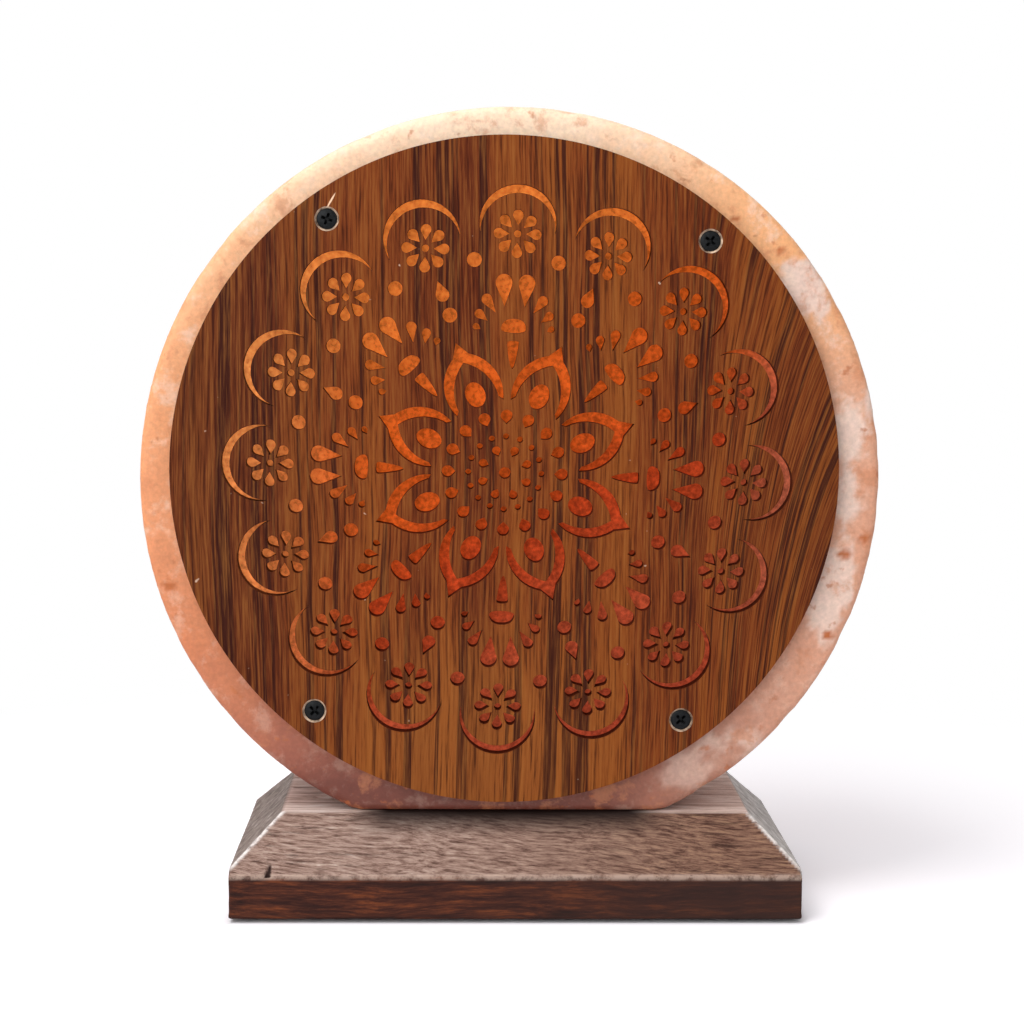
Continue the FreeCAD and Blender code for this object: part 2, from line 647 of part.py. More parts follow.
def bulb_contact():
    """Solder button under the insulator."""
    top = BULB_BOTTOM + BULB_CONTACT_HEIGHT
    return turned([(0, BULB_BOTTOM), (BULB_CONTACT_RADIUS, BULB_BOTTOM),
                   (BULB_CONTACT_RADIUS, top), (0, top)])


def bulb_insulator():
    """Dark glass cone between the button and the threaded cap."""
    bottom = BULB_BOTTOM + BULB_CONTACT_HEIGHT
    top = BULB_CAP_BOTTOM - RUN
    return turned([(0, bottom), (BULB_INSULATOR_TIP, bottom),
                   (CAP_THREAD_RADIUS - BULB_CAP_WALL, top), (0, top)], THREAD_SIDES)


def bulb_cap():
    """Threaded brass sleeve, its lip turned in over the insulator."""
    inner = CAP_THREAD_RADIUS - BULB_CAP_WALL
    lip = BULB_CAP_BOTTOM + BULB_CAP_WALL
    return turned([(BULB_INSULATOR_TIP, BULB_CAP_BOTTOM), (CAP_THREAD_RADIUS, BULB_CAP_BOTTOM),
                   (CAP_THREAD_RADIUS, GLASS_SHOULDER_Z), (inner, GLASS_SHOULDER_Z),
                   (inner, lip), (BULB_INSULATOR_TIP, lip)], THREAD_SIDES)


def glass_outline(wall):
    """Neck, shoulder, straight body and round end, drawn in by a wall."""
    neck = BULB_NECK_RADIUS - wall
    body = BULB_RADIUS - wall
    top = [(body * math.cos(a), GLASS_BODY_TOP + body * math.sin(a))
           for a in (math.pi / 2 * k / GLASS_END_STEPS for k in range(GLASS_END_STEPS))]
    return ([(0, GLASS_BOTTOM + wall), (neck, GLASS_BOTTOM + wall), (neck, GLASS_SHOULDER_Z),
             (body, GLASS_BODY_BOTTOM)] + top + [(0, GLASS_BODY_TOP + body)])


def bulb_glass():
    """Frosted glass blown over the mount, closed at its foot."""
    return turned(glass_outline(0)).cut(turned(glass_outline(BULB_WALL)))


def bulb_stem():
    """Glass mount that carries the wires, standing on the foot of the glass."""
    foot = GLASS_BOTTOM + BULB_WALL + SEAT
    top = GLASS_BODY_BOTTOM
    return turned([(0, foot), (STEM_FOOT, foot), (STEM_TOP, foot + STEM_FOOT), (STEM_TOP, top),
                   (0, top)], PIN_SIDES)


def bulb_leads():
    """Two wires out of the stem's sides, up to the filament's ends."""
    bottom = GLASS_BODY_BOTTOM - STEM_FOOT
    top = FILAMENT_Z - FILAMENT_RADIUS
    wires = []
    for side in (-1, 1):
        root = side * (STEM_TOP + SEAT)
        tip = side * FILAMENT_SPAN / 2
        outline = [(root, bottom), (root + side * LEAD_WIDTH, bottom), (tip, top),
                   (tip - side * LEAD_WIDTH, top)]
        corners = [Vector(x, -LEAD_WIDTH / 2, z) for x, z in outline]
        wires.append(prism(corners, LEAD_WIDTH, Vector(0, 1, 0)))
    return wires


def bulb_filament():
    """Coiled wire between the leads, drawn as the thin rod that it looks like."""
    rod = turned([(0, 0), (FILAMENT_RADIUS, 0), (FILAMENT_RADIUS, FILAMENT_SPAN),
                  (0, FILAMENT_SPAN)], PIN_SIDES)
    rod.rotate(Vector(0, 0, 0), Vector(0, 1, 0), 90)
    rod.translate(Vector(-FILAMENT_SPAN / 2, 0, FILAMENT_Z))
    return rod


# ---------------------------------------------------------------- the lamp

os.makedirs("parts", exist_ok=True)

write("base_block", [base_block()])
write("foot_pads", pads())
write("salt_drum", [salt_drum()])
write("fret_panel", [fret_panel()])
panel_seat = PANEL_FRONT + PANEL_SCREW_SINK
panel_plug = (PANEL_PLUG_RADIUS, PANEL_SCREW_SHANK + SEAT, PANEL_PLUG_LENGTH)
write("panel_screws", [laid(panel_screw(), (x, panel_seat, z), LAID_BACK)
                       for x, z in screw_places()])
write("panel_plugs", [laid(plug(*panel_plug), (x, DRUM_FRONT, z), LAID_BACK)
                      for x, z in screw_places()])

base_seat = BASE_BOTTOM + BASE_SCREW_POCKET_DEPTH - BASE_SCREW_HEAD_HEIGHT
base_plug = (BASE_PLUG_RADIUS, BASE_SCREW_SHANK + SEAT, BASE_PLUG_LENGTH)
write("base_screws", [laid(base_screw(), (x, 0, base_seat)) for x in base_screw_places()])
write("base_plugs", [laid(plug(*base_plug), (x, 0, BASE_TOP)) for x in base_screw_places()])

write("holder_cap", [holder_cap()])
write("holder_shell", [holder_shell()])
write("cord_gland", [cord_gland()])
write("thread_shell", [thread_shell()])
write("centre_contact", [centre_contact()])
write("clip_pins", [clip_pin(side, CLIP_PIN_RADIUS) for side in (-1, 1)])
write("clip_left", [clip(-1)])
write("clip_right", [clip(1)])

write("bulb_contact", [bulb_contact()])
write("bulb_insulator", [bulb_insulator()])
write("bulb_cap", [bulb_cap()])
write("bulb_glass", [bulb_glass()])
write("bulb_stem", [bulb_stem()])
write("bulb_leads", bulb_leads())
write("bulb_filament", [bulb_filament()])
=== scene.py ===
"""Salt crystal lamp: the looks of its salt, wood, screws, holder and bulb, in metres."""
import math

import bmesh
import bpy
from mathutils import Matrix, Vector, noise


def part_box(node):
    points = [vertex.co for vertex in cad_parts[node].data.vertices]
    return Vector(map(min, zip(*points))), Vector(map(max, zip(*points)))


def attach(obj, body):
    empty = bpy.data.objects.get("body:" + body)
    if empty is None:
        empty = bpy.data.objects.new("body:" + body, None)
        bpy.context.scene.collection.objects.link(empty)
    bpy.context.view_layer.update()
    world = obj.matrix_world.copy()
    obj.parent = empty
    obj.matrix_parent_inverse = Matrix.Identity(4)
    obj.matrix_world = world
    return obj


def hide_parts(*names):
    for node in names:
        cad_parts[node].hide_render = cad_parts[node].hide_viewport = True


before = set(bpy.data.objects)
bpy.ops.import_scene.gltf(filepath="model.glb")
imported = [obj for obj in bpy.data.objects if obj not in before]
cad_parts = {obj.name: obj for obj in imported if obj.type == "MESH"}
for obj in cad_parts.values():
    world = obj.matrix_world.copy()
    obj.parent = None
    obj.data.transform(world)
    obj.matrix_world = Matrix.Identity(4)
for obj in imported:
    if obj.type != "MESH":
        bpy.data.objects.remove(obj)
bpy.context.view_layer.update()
MM = 0.001


# ------------------------------------------------------------------ camera, light and floor
# The lamp stands on a white studio table. A broad soft lamp at the upper left throws a faint
# shadow to the right, and the room itself fills the rest in.

def linear(code):
    """An sRGB hex colour as linear red, green, blue and alpha."""
    parts = [int(code[i:i + 2], 16) / 255 for i in (0, 2, 4)]
    return tuple(p / 12.92 if p <= 0.04045 else ((p + 0.055) / 1.055) ** 2.4
                 for p in parts) + (1.0,)


def add(tree, kind, settings=None, inputs=None, stops=None):
    """Adds a node. A socket gets a value, or a link from a node or from (node, its output)."""
    made = tree.nodes.new(kind)
    for name, value in (settings or {}).items():
        setattr(made, name, value)
    for socket, value in (inputs or {}).items():
        if isinstance(value, bpy.types.Node):
            value = (value, next(k for k, out in enumerate(value.outputs) if out.enabled))
        if isinstance(value, tuple) and isinstance(value[0], bpy.types.Node):
            tree.links.new(value[0].outputs[value[1]], made.inputs[socket])
        else:
            made.inputs[socket].default_value = value
    for k, (place, code) in enumerate(stops or ()):
        marks = made.color_ramp.elements
        mark = marks[k] if k < len(marks) else marks.new(place)
        mark.position, mark.color = place, linear(code)
    return made


def new_object(name, data):
    made = bpy.data.objects.new(name, data)
    bpy.context.scene.collection.objects.link(made)
    return made


def blank_material(name):
    """An empty node material, to be filled by the piece that it is for."""
    material = bpy.data.materials.new(name)
    material.use_nodes = True
    material.node_tree.nodes.clear()
    return material


PICTURE_WIDTH = 1024           # pixels
CAMERA_PLACE = (-0.0137, -0.5878, 0.1717)
CAMERA_TURN = 1.43             # degrees to the right of straight ahead
CAMERA_TILT = 6.19             # degrees down
CAMERA_ROLL = 0.455            # degrees
CAMERA_FOCUS = 2076.6          # focal length in pixels
SENSOR_WIDTH = 36.0            # millimetres

camera = new_object("camera", bpy.data.cameras.new("camera"))
camera.data.sensor_width = SENSOR_WIDTH
camera.data.lens = CAMERA_FOCUS / PICTURE_WIDTH * SENSOR_WIDTH
camera.data.clip_start = 10 * MM
camera.matrix_world = (Matrix.Translation(CAMERA_PLACE)
                       @ Matrix.Rotation(math.radians(-CAMERA_TURN), 4, "Z")
                       @ Matrix.Rotation(math.radians(90 - CAMERA_TILT), 4, "X")
                       @ Matrix.Rotation(math.radians(CAMERA_ROLL), 4, "Z"))
bpy.context.scene.camera = camera

LAMPS = (                      # name, place, width, watts
    ("key_lamp", (-0.55, -0.45, 1.25), 0.75, 11.5),
    ("front_lamp", (-0.8, -1.5, 0.75), 1.2, 13.5),
    ("back_lamp", (0.5, 1.3, 0.9), 1.0, 3.0),
)
AIM = Vector((0, 0, 0.1))
for name, place, width, watts in LAMPS:
    lamp = new_object(name, bpy.data.lights.new(name, "AREA"))
    lamp.data.size = width
    lamp.data.energy = watts
    lamp.location = place
    lamp.rotation_euler = (AIM - Vector(place)).to_track_quat("-Z", "Y").to_euler()


def seen_rays(tree):
    """1 for rays of the camera, of reflections and through glass, and 0 for the rest."""
    rays = add(tree, "ShaderNodeLightPath")
    seen = (rays, "Is Camera Ray")
    for kind in ("Is Glossy Ray", "Is Transmission Ray"):
        seen = add(tree, "ShaderNodeMath", {"operation": "MAXIMUM"}, {0: seen, 1: (rays, kind)})
    return seen


ROOM_LIGHT = 0.45
world = bpy.data.worlds.new("room")
world.use_nodes = True
tree = world.node_tree
tree.nodes.clear()
level = add(tree, "ShaderNodeMapRange", None,
            {"Value": seen_rays(tree), "To Min": ROOM_LIGHT, "To Max": 1.0})
room = add(tree, "ShaderNodeBackground", None,
           {"Color": linear("FFFFFF"), "Strength": level})
add(tree, "ShaderNodeOutputWorld", None, {"Surface": room})
bpy.context.scene.world = world
bpy.context.scene.view_settings.view_transform = "Standard"

FLOOR_REACH = 4.0
FLOOR_LIFT = 0.28              # brightness that the camera alone sees, so the table reads white
SHADE_REACH = (0.14, 0.31)     # from the lamp, where the table fades to plain white
UNLIFTED_MIDDLE = 0.002        # the table under the lamp isn't brightened: its middle on X,
UNLIFTED_HALF = (0.079, 0.041, 1.0)      # and its half sizes
corners = [(x * FLOOR_REACH, y * FLOOR_REACH, 0) for x, y in ((-1, -1), (1, -1), (1, 1), (-1, 1))]
floor_mesh = bpy.data.meshes.new("floor")
floor_mesh.from_pydata(corners, [], [(0, 1, 2, 3)])
floor = new_object("floor", floor_mesh)
paper = blank_material("white_paper")
tree = paper.node_tree
seen = seen_rays(tree)
spot = add(tree, "ShaderNodeTexCoord")
under = add(tree, "ShaderNodeMapping", {"vector_type": "TEXTURE"},
            {"Vector": (spot, "Object"), "Location": (UNLIFTED_MIDDLE, 0.0, 0.0),
             "Scale": UNLIFTED_HALF})
under = add(tree, "ShaderNodeVectorMath", {"operation": "ABSOLUTE"}, {0: (under, 0)})
under = add(tree, "ShaderNodeSeparateXYZ", None, {0: (under, 0)})
under = add(tree, "ShaderNodeMath", {"operation": "MAXIMUM"}, {0: (under, 0), 1: (under, 1)})
clear = add(tree, "ShaderNodeMapRange", None,
            {"Value": (under, 0), "From Min": 0.98, "From Max": 1.02, "To Max": FLOOR_LIFT})
lift = add(tree, "ShaderNodeMath", {"operation": "MULTIPLY"}, {0: seen, 1: clear})
glow = add(tree, "ShaderNodeEmission", None, {"Color": linear("FBF8FF"), "Strength": lift})
matt = add(tree, "ShaderNodeBsdfDiffuse", None, {"Color": linear("F4F2F5")})
both = add(tree, "ShaderNodeAddShader", None, {0: glow, 1: matt})
white = add(tree, "ShaderNodeEmission", None, {"Color": linear("FFFFFF"), "Strength": 1.0})
away = add(tree, "ShaderNodeVectorMath", {"operation": "LENGTH"}, {0: (spot, "Object")})
fade = add(tree, "ShaderNodeMapRange", {"interpolation_type": "SMOOTHSTEP"},
           {"Value": away, "From Min": SHADE_REACH[0], "From Max": SHADE_REACH[1]})
fade = add(tree, "ShaderNodeMath", {"operation": "MULTIPLY"}, {0: fade, 1: seen})
table = add(tree, "ShaderNodeMixShader", None, {0: fade, 1: both, 2: white})
add(tree, "ShaderNodeOutputMaterial", None, {"Surface": table})
floor_mesh.materials.append(paper)


# ------------------------------------------------------------------ salt drum
# A slab of pink rock salt, turned to a round, ground on its edges and sawn flat at the foot.
# Iron stains it in soft bands. The bulb in the bore gives no light of its own: its glow is painted
# on the salt behind the fret, lighter toward the key lamp and at the left, with painted shade at
# the right.

DRUM_VOXEL = 1.15 * MM         # mesh size of the worn surface
DRUM_WAVE = 0.08 * MM          # slow unevenness of the grinding
DRUM_CHIP = 0.40 * MM          # chips along its edges
DRUM_GRAIN = 0.05 * MM
DRUM_CENTRE = Vector((0, 0, 0.1188))
DRUM_RADIUS = 0.101
DRUM_HALF = 0.025
DRUM_FOOT = 0.0275
DRUM_FOOT_HALF = 0.041         # of the sawn foot, as far as its corner is sharp
DRUM_EDGE = 1.2 * MM
PANEL_CENTRE = Vector((-1.6 * MM, 0, 121.4 * MM))      # of the panel in front of the drum
PANEL_SHELTER = (0.084, 0.094)  # from its centre, where the drum's face begins to wear
SALT_STAIN = 45 * MM           # iron bands
SALT_VEIN = 9 * MM             # veins in the bands
SALT_SPECK = 3.846 * MM        # rust specks
SALT_CELL = 2.6 * MM           # crystals
SALT_GRAIN = 1.3 * MM
SALT_GRIT = 1.111 * MM
SALT_HEIGHTS = (0.028, 0.218)  # the salt pales from its foot to its top
GLOW = 0.55                    # painted glow for the bulb's light, seen through the fret
GLOW_EDGE = (0.0885, 0.0845)   # from the panel's centre, where it begins and where it is full
GLOW_FADE = 6.0                # how much sooner it ends toward the drum's back than sideways
# The way toward the key lamp, along which the glowing salt is painted lighter.
TOWARD_KEY = (-0.45, 0.0, 0.89)
SALT_BLOOMS = (                # whiter crystalline patches on the ring: x, z, reach across, up
    (79, 173, 8, 9), (92, 122, 5, 26), (88, 88, 6, 12), (48, 38, 11, 5), (84, 166, 3, 4),
    (98, 150, 2, 18), (64, 48, 9, 6), (-84, 62, 3, 5),
)
SALT_RUST = (                  # rusty spots, in the same way
    (97, 104, 2.2, 1.8), (91.5, 99.5, 2.0, 1.2), (72, 182, 2.4, 1.4), (60, 190, 1.6, 1.0),
    (-93, 90, 1.8, 1.2), (88, 77, 1.6, 1.0),
)
EVEN, EASED = "LINEAR", "SMOOTHSTEP"


def fitted(piece, body, node):
    """Hangs a piece on the body that carries it and hides the CAD node that it stands in for."""
    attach(piece, body)
    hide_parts(node)


def merged_copy(name, node):
    """A CAD node's mesh as a closed mesh of its own."""
    made = new_object(name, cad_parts[node].data.copy())
    made.data.materials.clear()
    work = bmesh.new()
    work.from_mesh(made.data)
    bmesh.ops.remove_doubles(work, verts=work.verts, dist=1e-6)
    work.to_mesh(made.data)
    work.free()
    return made


def applied(piece, step):
    """The plain mesh that a modifier makes of a piece, which is then free of it."""
    finished = piece.evaluated_get(bpy.context.evaluated_depsgraph_get())
    mesh = bpy.data.meshes.new_from_object(finished)
    piece.modifiers.remove(step)
    return mesh


def remeshed(piece, size):
    """The piece's mesh drawn again in small even faces."""
    step = piece.modifiers.new("remesh", "REMESH")
    step.mode = "VOXEL"
    step.voxel_size = size
    piece.data = applied(piece, step)
    piece.data.shade_smooth()


def worn(piece, node, depth_at):
    """Moves every point inward by a depth, and keeps it inside the CAD node's box."""
    low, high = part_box(node)
    moved = []
    for vertex in piece.data.vertices:
        place = vertex.co - vertex.normal * depth_at(vertex.co, vertex.normal)
        moved.append([min(max(place[i], low[i]), high[i]) for i in range(3)])
    piece.data.vertices.foreach_set("co", [c for place in moved for c in place])
    piece.data.update()


def above(value, low, high):
    """0 below low, 1 above high, and a smooth rise between."""
    t = min(max((value - low) / (high - low), 0.0), 1.0)
    return t * t * (3 - 2 * t)


def drum_wear(place, normal):
    away = place - DRUM_CENTRE
    radius = math.hypot(away.x, away.z)
    on_foot = 1 - above(place.z, DRUM_FOOT, DRUM_FOOT + 2 * MM)
    near_edge = above(radius, DRUM_RADIUS - 3.5 * MM, DRUM_RADIUS - 1 * MM) \
        * above(abs(place.y), DRUM_HALF - 4 * MM, DRUM_HALF - 1 * MM)
    slow = 0.5 + 0.5 * noise.noise(place * 30)
    chips = above(noise.noise(place * 120 + Vector((7, 3, 1))), 0.05, 0.6)
    fine = 0.5 + 0.5 * noise.noise(place * 600)
    behind_panel = 1 - above(radius, *PANEL_SHELTER) if place.y < 5 * MM - DRUM_HALF else 0.0
    depth = slow * DRUM_WAVE + near_edge * chips * DRUM_CHIP + fine * DRUM_GRAIN
    return depth * (1 - on_foot) * (1 - 0.9 * behind_panel)


def sharpen_foot(piece):
    """Fills the ground edge out to a sawn corner along the foot, where the saw went last."""
    for vertex in piece.data.vertices:
        in_from_face = DRUM_HALF - abs(vertex.co.y)
        up = vertex.co.z - DRUM_FOOT
        if max(in_from_face, up) < DRUM_EDGE and abs(vertex.co.x) < DRUM_FOOT_HALF:
            along = (DRUM_EDGE - up + in_from_face) / (2 * DRUM_EDGE)
            vertex.co.z = DRUM_FOOT + max(0.0, 1 - 2 * along) * DRUM_EDGE
            vertex.co.y = math.copysign(DRUM_HALF - max(0.0, 2 * along - 1) * DRUM_EDGE,
                                        vertex.co.y)


drum = merged_copy("rock_salt_drum", "salt_drum")
remeshed(drum, DRUM_VOXEL)
worn(drum, "salt_drum", drum_wear)
sharpen_foot(drum)


def blot(place, blots, rough):
    """How far a place lies inside the nearest of some ragged blots in front, from 0 to 1."""
    ragged = rough * noise.fractal(place * 90, 0.7, 2.2, 4)
    inward = above(place.y / MM, -19, 9)
    best = 0.0
    for x, z, across, up in blots:
        away = math.hypot((place.x / MM - x) / across, (place.z / MM - z) / up)
        best = max(best, 1 - above(away + ragged + 1.6 * inward, 0.60, 1.10))
    return best


def painted(piece, name, value_at):
    """Stores three values for each point, for the material to read as a colour."""
    layer = piece.data.color_attributes.new(name, "FLOAT_COLOR", "POINT")
    values = []
    for vertex in piece.data.vertices:
        values += [*value_at(vertex.co, vertex.normal), 1.0]
    layer.data.foreach_set("color", values)


painted(drum, "stains", lambda place, normal: (blot(place, SALT_BLOOMS, 0.9),
                                               blot(place, SALT_RUST, 0.8), 0.0))

# Rock salt: clear grains of IOR 1.54 that scatter light, so it looks soft and waxy where it is
# thick, with whiter crystalline patches and rust-red specks.
salt = blank_material("pink_rock_salt")
tree = salt.node_tree
place = add(tree, "ShaderNodeTexCoord")
axes = add(tree, "ShaderNodeSeparateXYZ", None, {0: (place, "Object")})
stains = add(tree, "ShaderNodeAttribute", {"attribute_name": "stains"})
stains = add(tree, "ShaderNodeSeparateColor", None, {0: (stains, "Color")})
clouds = {}
for name, pitch, detail, roughness, swirl in (
        ("stain", SALT_STAIN, 5.0, 0.55, 0.6), ("veins", SALT_VEIN, 8.0, 0.66, 0.2),
        ("specks", SALT_SPECK, 3.0, 0.50, 0.0), ("grains", SALT_GRAIN, 3.0, 0.60, 0.0),
        ("grit", SALT_GRIT, 4.0, 0.70, 0.0)):
    clouds[name] = add(tree, "ShaderNodeTexNoise", None,
                       {"Vector": (place, "Object"), "Scale": 1 / pitch, "Detail": detail,
                        "Roughness": roughness, "Distortion": swirl})
height = add(tree, "ShaderNodeMapRange", None,
             {"Value": (axes, "Z"), "From Min": SALT_HEIGHTS[0], "From Max": SALT_HEIGHTS[1]})
sway = add(tree, "ShaderNodeMath", {"operation": "MULTIPLY_ADD"},
           {0: clouds["stain"], 1: 0.30, 2: -0.15})
height = add(tree, "ShaderNodeMath", {"operation": "ADD", "use_clamp": True},
             {0: height, 1: sway})
frost = add(tree, "ShaderNodeMath", {"operation": "MULTIPLY_ADD"},
            {0: height, 1: 0.45, 2: 0.12})
flat = add(tree, "ShaderNodeMapping", {"vector_type": "POINT"},
           {"Vector": (place, "Object"), "Scale": (1.0, GLOW_FADE, 1.0),
            "Location": (-PANEL_CENTRE.x, GLOW_FADE * DRUM_HALF, -PANEL_CENTRE.z)})
from_heart = add(tree, "ShaderNodeVectorMath", {"operation": "LENGTH"}, {0: flat})
toward_key = add(tree, "ShaderNodeVectorMath", {"operation": "DOT_PRODUCT"},
                 {0: flat, 1: TOWARD_KEY})
much = {}
for name, ease, source, low, high, least, most in (
        ("right", EASED, (axes, "X"), 0.020, 0.085, 0.0, 0.75),
        ("below", EASED, (axes, "Z"), 0.185, 0.135, 0.0, 1.0),
        ("bloom", EVEN, (axes, "Z"), 0.030, 0.085, 0.35, 1.0),
        ("frost", EASED, clouds["veins"], 0.51, 0.66, 0.0, frost),
        ("murk", EASED, clouds["veins"], 0.47, 0.35, 0.0, 0.50),
        ("rust", EVEN, clouds["specks"], 0.66, 0.74, 0.0, 0.6),
        # The next row is where the bulb's glow is painted on the salt behind the fret.
        ("painted_glow", EASED, from_heart, *GLOW_EDGE, 0.0, 1.0),
        # Next three rows: painted light toward the key lamp and at the left, painted shade at the
        # right.
        ("toward_key", EVEN, toward_key, -0.080, 0.080, 0.0, 1.0),
        ("painted_light_left", EASED, (axes, "X"), -0.035, -0.080, 0.0, 0.45),
        ("shade", EASED, (axes, "X"), 0.052, 0.084, 0.0, 0.6),
        ("fleck", EVEN, clouds["grains"], 0.34, 0.66, 0.62, 1.32),
        ("faint", EVEN, clouds["grains"], 0.34, 0.66, 0.90, 1.06),
        ("sheen", EVEN, clouds["veins"], 0.3, 0.7, 0.42, 0.62)):
    much[name] = add(tree, "ShaderNodeMapRange", {"interpolation_type": ease},
                     {"Value": source, "From Min": low, "From Max": high, "To Min": least,
                      "To Max": most})
body = add(tree, "ShaderNodeValToRGB", None, {"Fac": height},
           stops=((0.0, "6E3628"), (0.09, "A05C46"), (0.24, "CC7C52"), (0.45, "DC9062"),
                  (0.66, "E49E6C"), (0.84, "EDB588"), (1.0, "F8DABC")))
aside = add(tree, "ShaderNodeMix", {"data_type": "RGBA"},
            {"Factor": much["below"], "A": linear("EAA870"), "B": linear("D6A288")})
bloom = add(tree, "ShaderNodeMath", {"operation": "MULTIPLY"},
            {0: much["bloom"], 1: (stains, 0)})
rust = add(tree, "ShaderNodeMath", {"operation": "MAXIMUM"}, {0: much["rust"], 1: (stains, 1)})
outside = body
for share, tint in ((much["right"], aside), (bloom, linear("E4C6B6")),
                    (much["frost"], linear("F4D8C4")), (much["murk"], linear("C67C50")),
                    (rust, linear("B5622F"))):
    outside = add(tree, "ShaderNodeMix", {"data_type": "RGBA"},
                  {"Factor": share, "A": outside, "B": tint})
# Painted light and shade on the glowing salt: lighter toward the key lamp, paler at the left,
# darker at the right.
lit = add(tree, "ShaderNodeValToRGB", None, {"Fac": much["toward_key"]},
          stops=((0.0, "A23F28"), (0.20, "AA462A"), (0.33, "A63A1A"), (0.40, "AE3A16"),
                 (0.50, "C04C16"), (0.66, "CE581A"), (0.82, "E0742E"), (1.0, "F4863A")))
inside = lit
for share, code in ((much["painted_light_left"], "FFAC66"), (much["shade"], "B26A50")):
    inside = add(tree, "ShaderNodeMix", {"data_type": "RGBA"},
                 {"Factor": share, "A": inside, "B": linear(code)})
inside = add(tree, "ShaderNodeVectorMath", {"operation": "MULTIPLY"},
             {0: inside, 1: much["fleck"]})
outside = add(tree, "ShaderNodeVectorMath", {"operation": "MULTIPLY"},
              {0: outside, 1: much["faint"]})
# Behind the fret the salt takes the painted glow's colours.
colour = add(tree, "ShaderNodeMix", {"data_type": "RGBA"},
             {"Factor": much["painted_glow"], "A": outside, "B": inside})
dusty = add(tree, "ShaderNodeMapRange", None,
            {"Value": much["painted_glow"], "To Min": 0.40, "To Max": 0.05})
crystals = add(tree, "ShaderNodeTexVoronoi", None,
               {"Vector": (place, "Object"), "Scale": 1 / SALT_CELL, "Randomness": 1.0})
relief = add(tree, "ShaderNodeMath", {"operation": "MULTIPLY_ADD"},
             {0: crystals, 1: 0.6, 2: clouds["grit"]})
dents = add(tree, "ShaderNodeBump", None,
            {"Height": relief, "Strength": 0.5, "Distance": 0.35 * MM})
# Painted glow: emission on the salt behind the fret stands in for the bulb's light.
glow = add(tree, "ShaderNodeMath", {"operation": "MULTIPLY"}, {0: much["painted_glow"], 1: GLOW})
shader = add(tree, "ShaderNodeBsdfPrincipled", None,
             {"Base Color": colour, "Roughness": much["sheen"], "Normal": dents,
              "IOR": 1.544, "Specular IOR Level": dusty, "Subsurface Weight": 0.15,
              "Subsurface Radius": (0.004, 0.0018, 0.0010), "Subsurface Scale": 1.0,
              "Emission Color": inside, "Emission Strength": glow})
add(tree, "ShaderNodeOutputMaterial", None, {"Surface": shader})
drum.data.materials.append(salt)
fitted(drum, "root", "salt_drum")


# ------------------------------------------------------------------ fretted panel
# A disc of oiled sheesham, cut through with a mandala by a fine hot blade that scorches the
# walls, and countersunk for four screws. One eighth of the drawing is repeated round it.

PANEL_RADIUS = 90.5 * MM
PANEL_BACK = -DRUM_HALF
PANEL_THICKNESS = 4.0 * MM
PANEL_FACE = PANEL_BACK - PANEL_THICKNESS
FRET_SHIFT = (0.6 * MM, 0.25 * MM)     # mandala's centre from the panel's centre
FRET_TURN = math.radians(2.0)          # clockwise
FRET_REPEATS = 8
STAR_SHIFT = (-0.75 * MM, 0.0, 0.0)    # petals and all inside them, from the mandala's centre
STAR_TURN = -0.6                       # degrees
DAISY_RING = 64.2                      # millimetres from the mandala's centre
SCREW_CIRCLE = 83.2 * MM
SCREW_ANGLES = (-35.3, 40.9, 144.2, 218.4)
SCREW_MOUTH = 3.27 * MM


def round_outline(radius, points):
    turns = [2 * math.pi * k / points for k in range(points)]
    return [(radius * math.sin(a), radius * math.cos(a)) for a in turns]


def drop_outline(length, width, points=16):
    """Teardrop with its point inward."""
    end = width / 2
    centre = length / 2 - end
    half_arc = math.pi / 2 + math.asin(end / (length - end))
    arc = [half_arc * (2 * k / points - 1) for k in range(points + 1)]
    return [(0, -length / 2)] + [(end * math.sin(a), centre + end * math.cos(a)) for a in arc]


def oval_outline(length, width, points=24):
    return [(width * x, length * y) for x, y in round_outline(0.5, points)]


def crescent_outline(outer, inner, offset, steps=24):
    """What an outer circle leaves outside an inner one set back by offset."""
    tip_y = (inner ** 2 - outer ** 2 - offset ** 2) / (2 * offset)
    tip_x = math.sqrt(outer ** 2 - tip_y ** 2)
    outer_half = math.atan2(tip_x, tip_y)
    inner_half = math.atan2(tip_x, tip_y + offset)
    turns = [2 * k / steps - 1 for k in range(steps + 1)]
    outside = [(outer * math.sin(outer_half * t), outer * math.cos(outer_half * t))
               for t in turns]
    inside = [(inner * math.sin(inner_half * t), inner * math.cos(inner_half * t) - offset)
              for t in reversed(turns[1:-1])]
    return outside + inside


def softened(corners, rounds=3):
    """Closed outline with its corners cut to smooth curves."""
    for _ in range(rounds):
        cut = []
        for (x0, y0), (x1, y1) in zip(corners, corners[1:] + corners[:1]):
            cut += [(0.75 * x0 + 0.25 * x1, 0.75 * y0 + 0.25 * y1),
                    (0.25 * x0 + 0.75 * x1, 0.25 * y0 + 0.75 * y1)]
        corners = cut
    return corners


def bean_outline(width, height):
    right = [(0.40 * width, -height / 2), (0.52 * width, -0.1 * height), (0.30 * width, height / 2)]
    return softened(right + [(-x, y) for x, y in reversed(right)])


def wedge_outline(length, wide, narrow):
    right = [(narrow / 2, -length / 2), (wide / 2, 0.40 * length), (0.36 * wide, length / 2)]
    return softened(right + [(-x, y) for x, y in reversed(right)], 2)


def arc_through(start, middle, end, steps):
    """Points on the circle through three points, both ends included."""
    (ax, ay), (bx, by), (cx, cy) = start, middle, end
    d = 2 * (ax * (by - cy) + bx * (cy - ay) + cx * (ay - by))
    a2, b2, c2 = ax * ax + ay * ay, bx * bx + by * by, cx * cx + cy * cy
    ox = (a2 * (by - cy) + b2 * (cy - ay) + c2 * (ay - by)) / d
    oy = (a2 * (cx - bx) + b2 * (ax - cx) + c2 * (bx - ax)) / d
    radius = math.hypot(ax - ox, ay - oy)
    first = math.atan2(ay - oy, ax - ox)
    span = math.remainder(math.atan2(cy - oy, cx - ox) - first, 2 * math.pi)
    return [(ox + radius * math.cos(first + span * k / steps),
             oy + radius * math.sin(first + span * k / steps)) for k in range(steps + 1)]


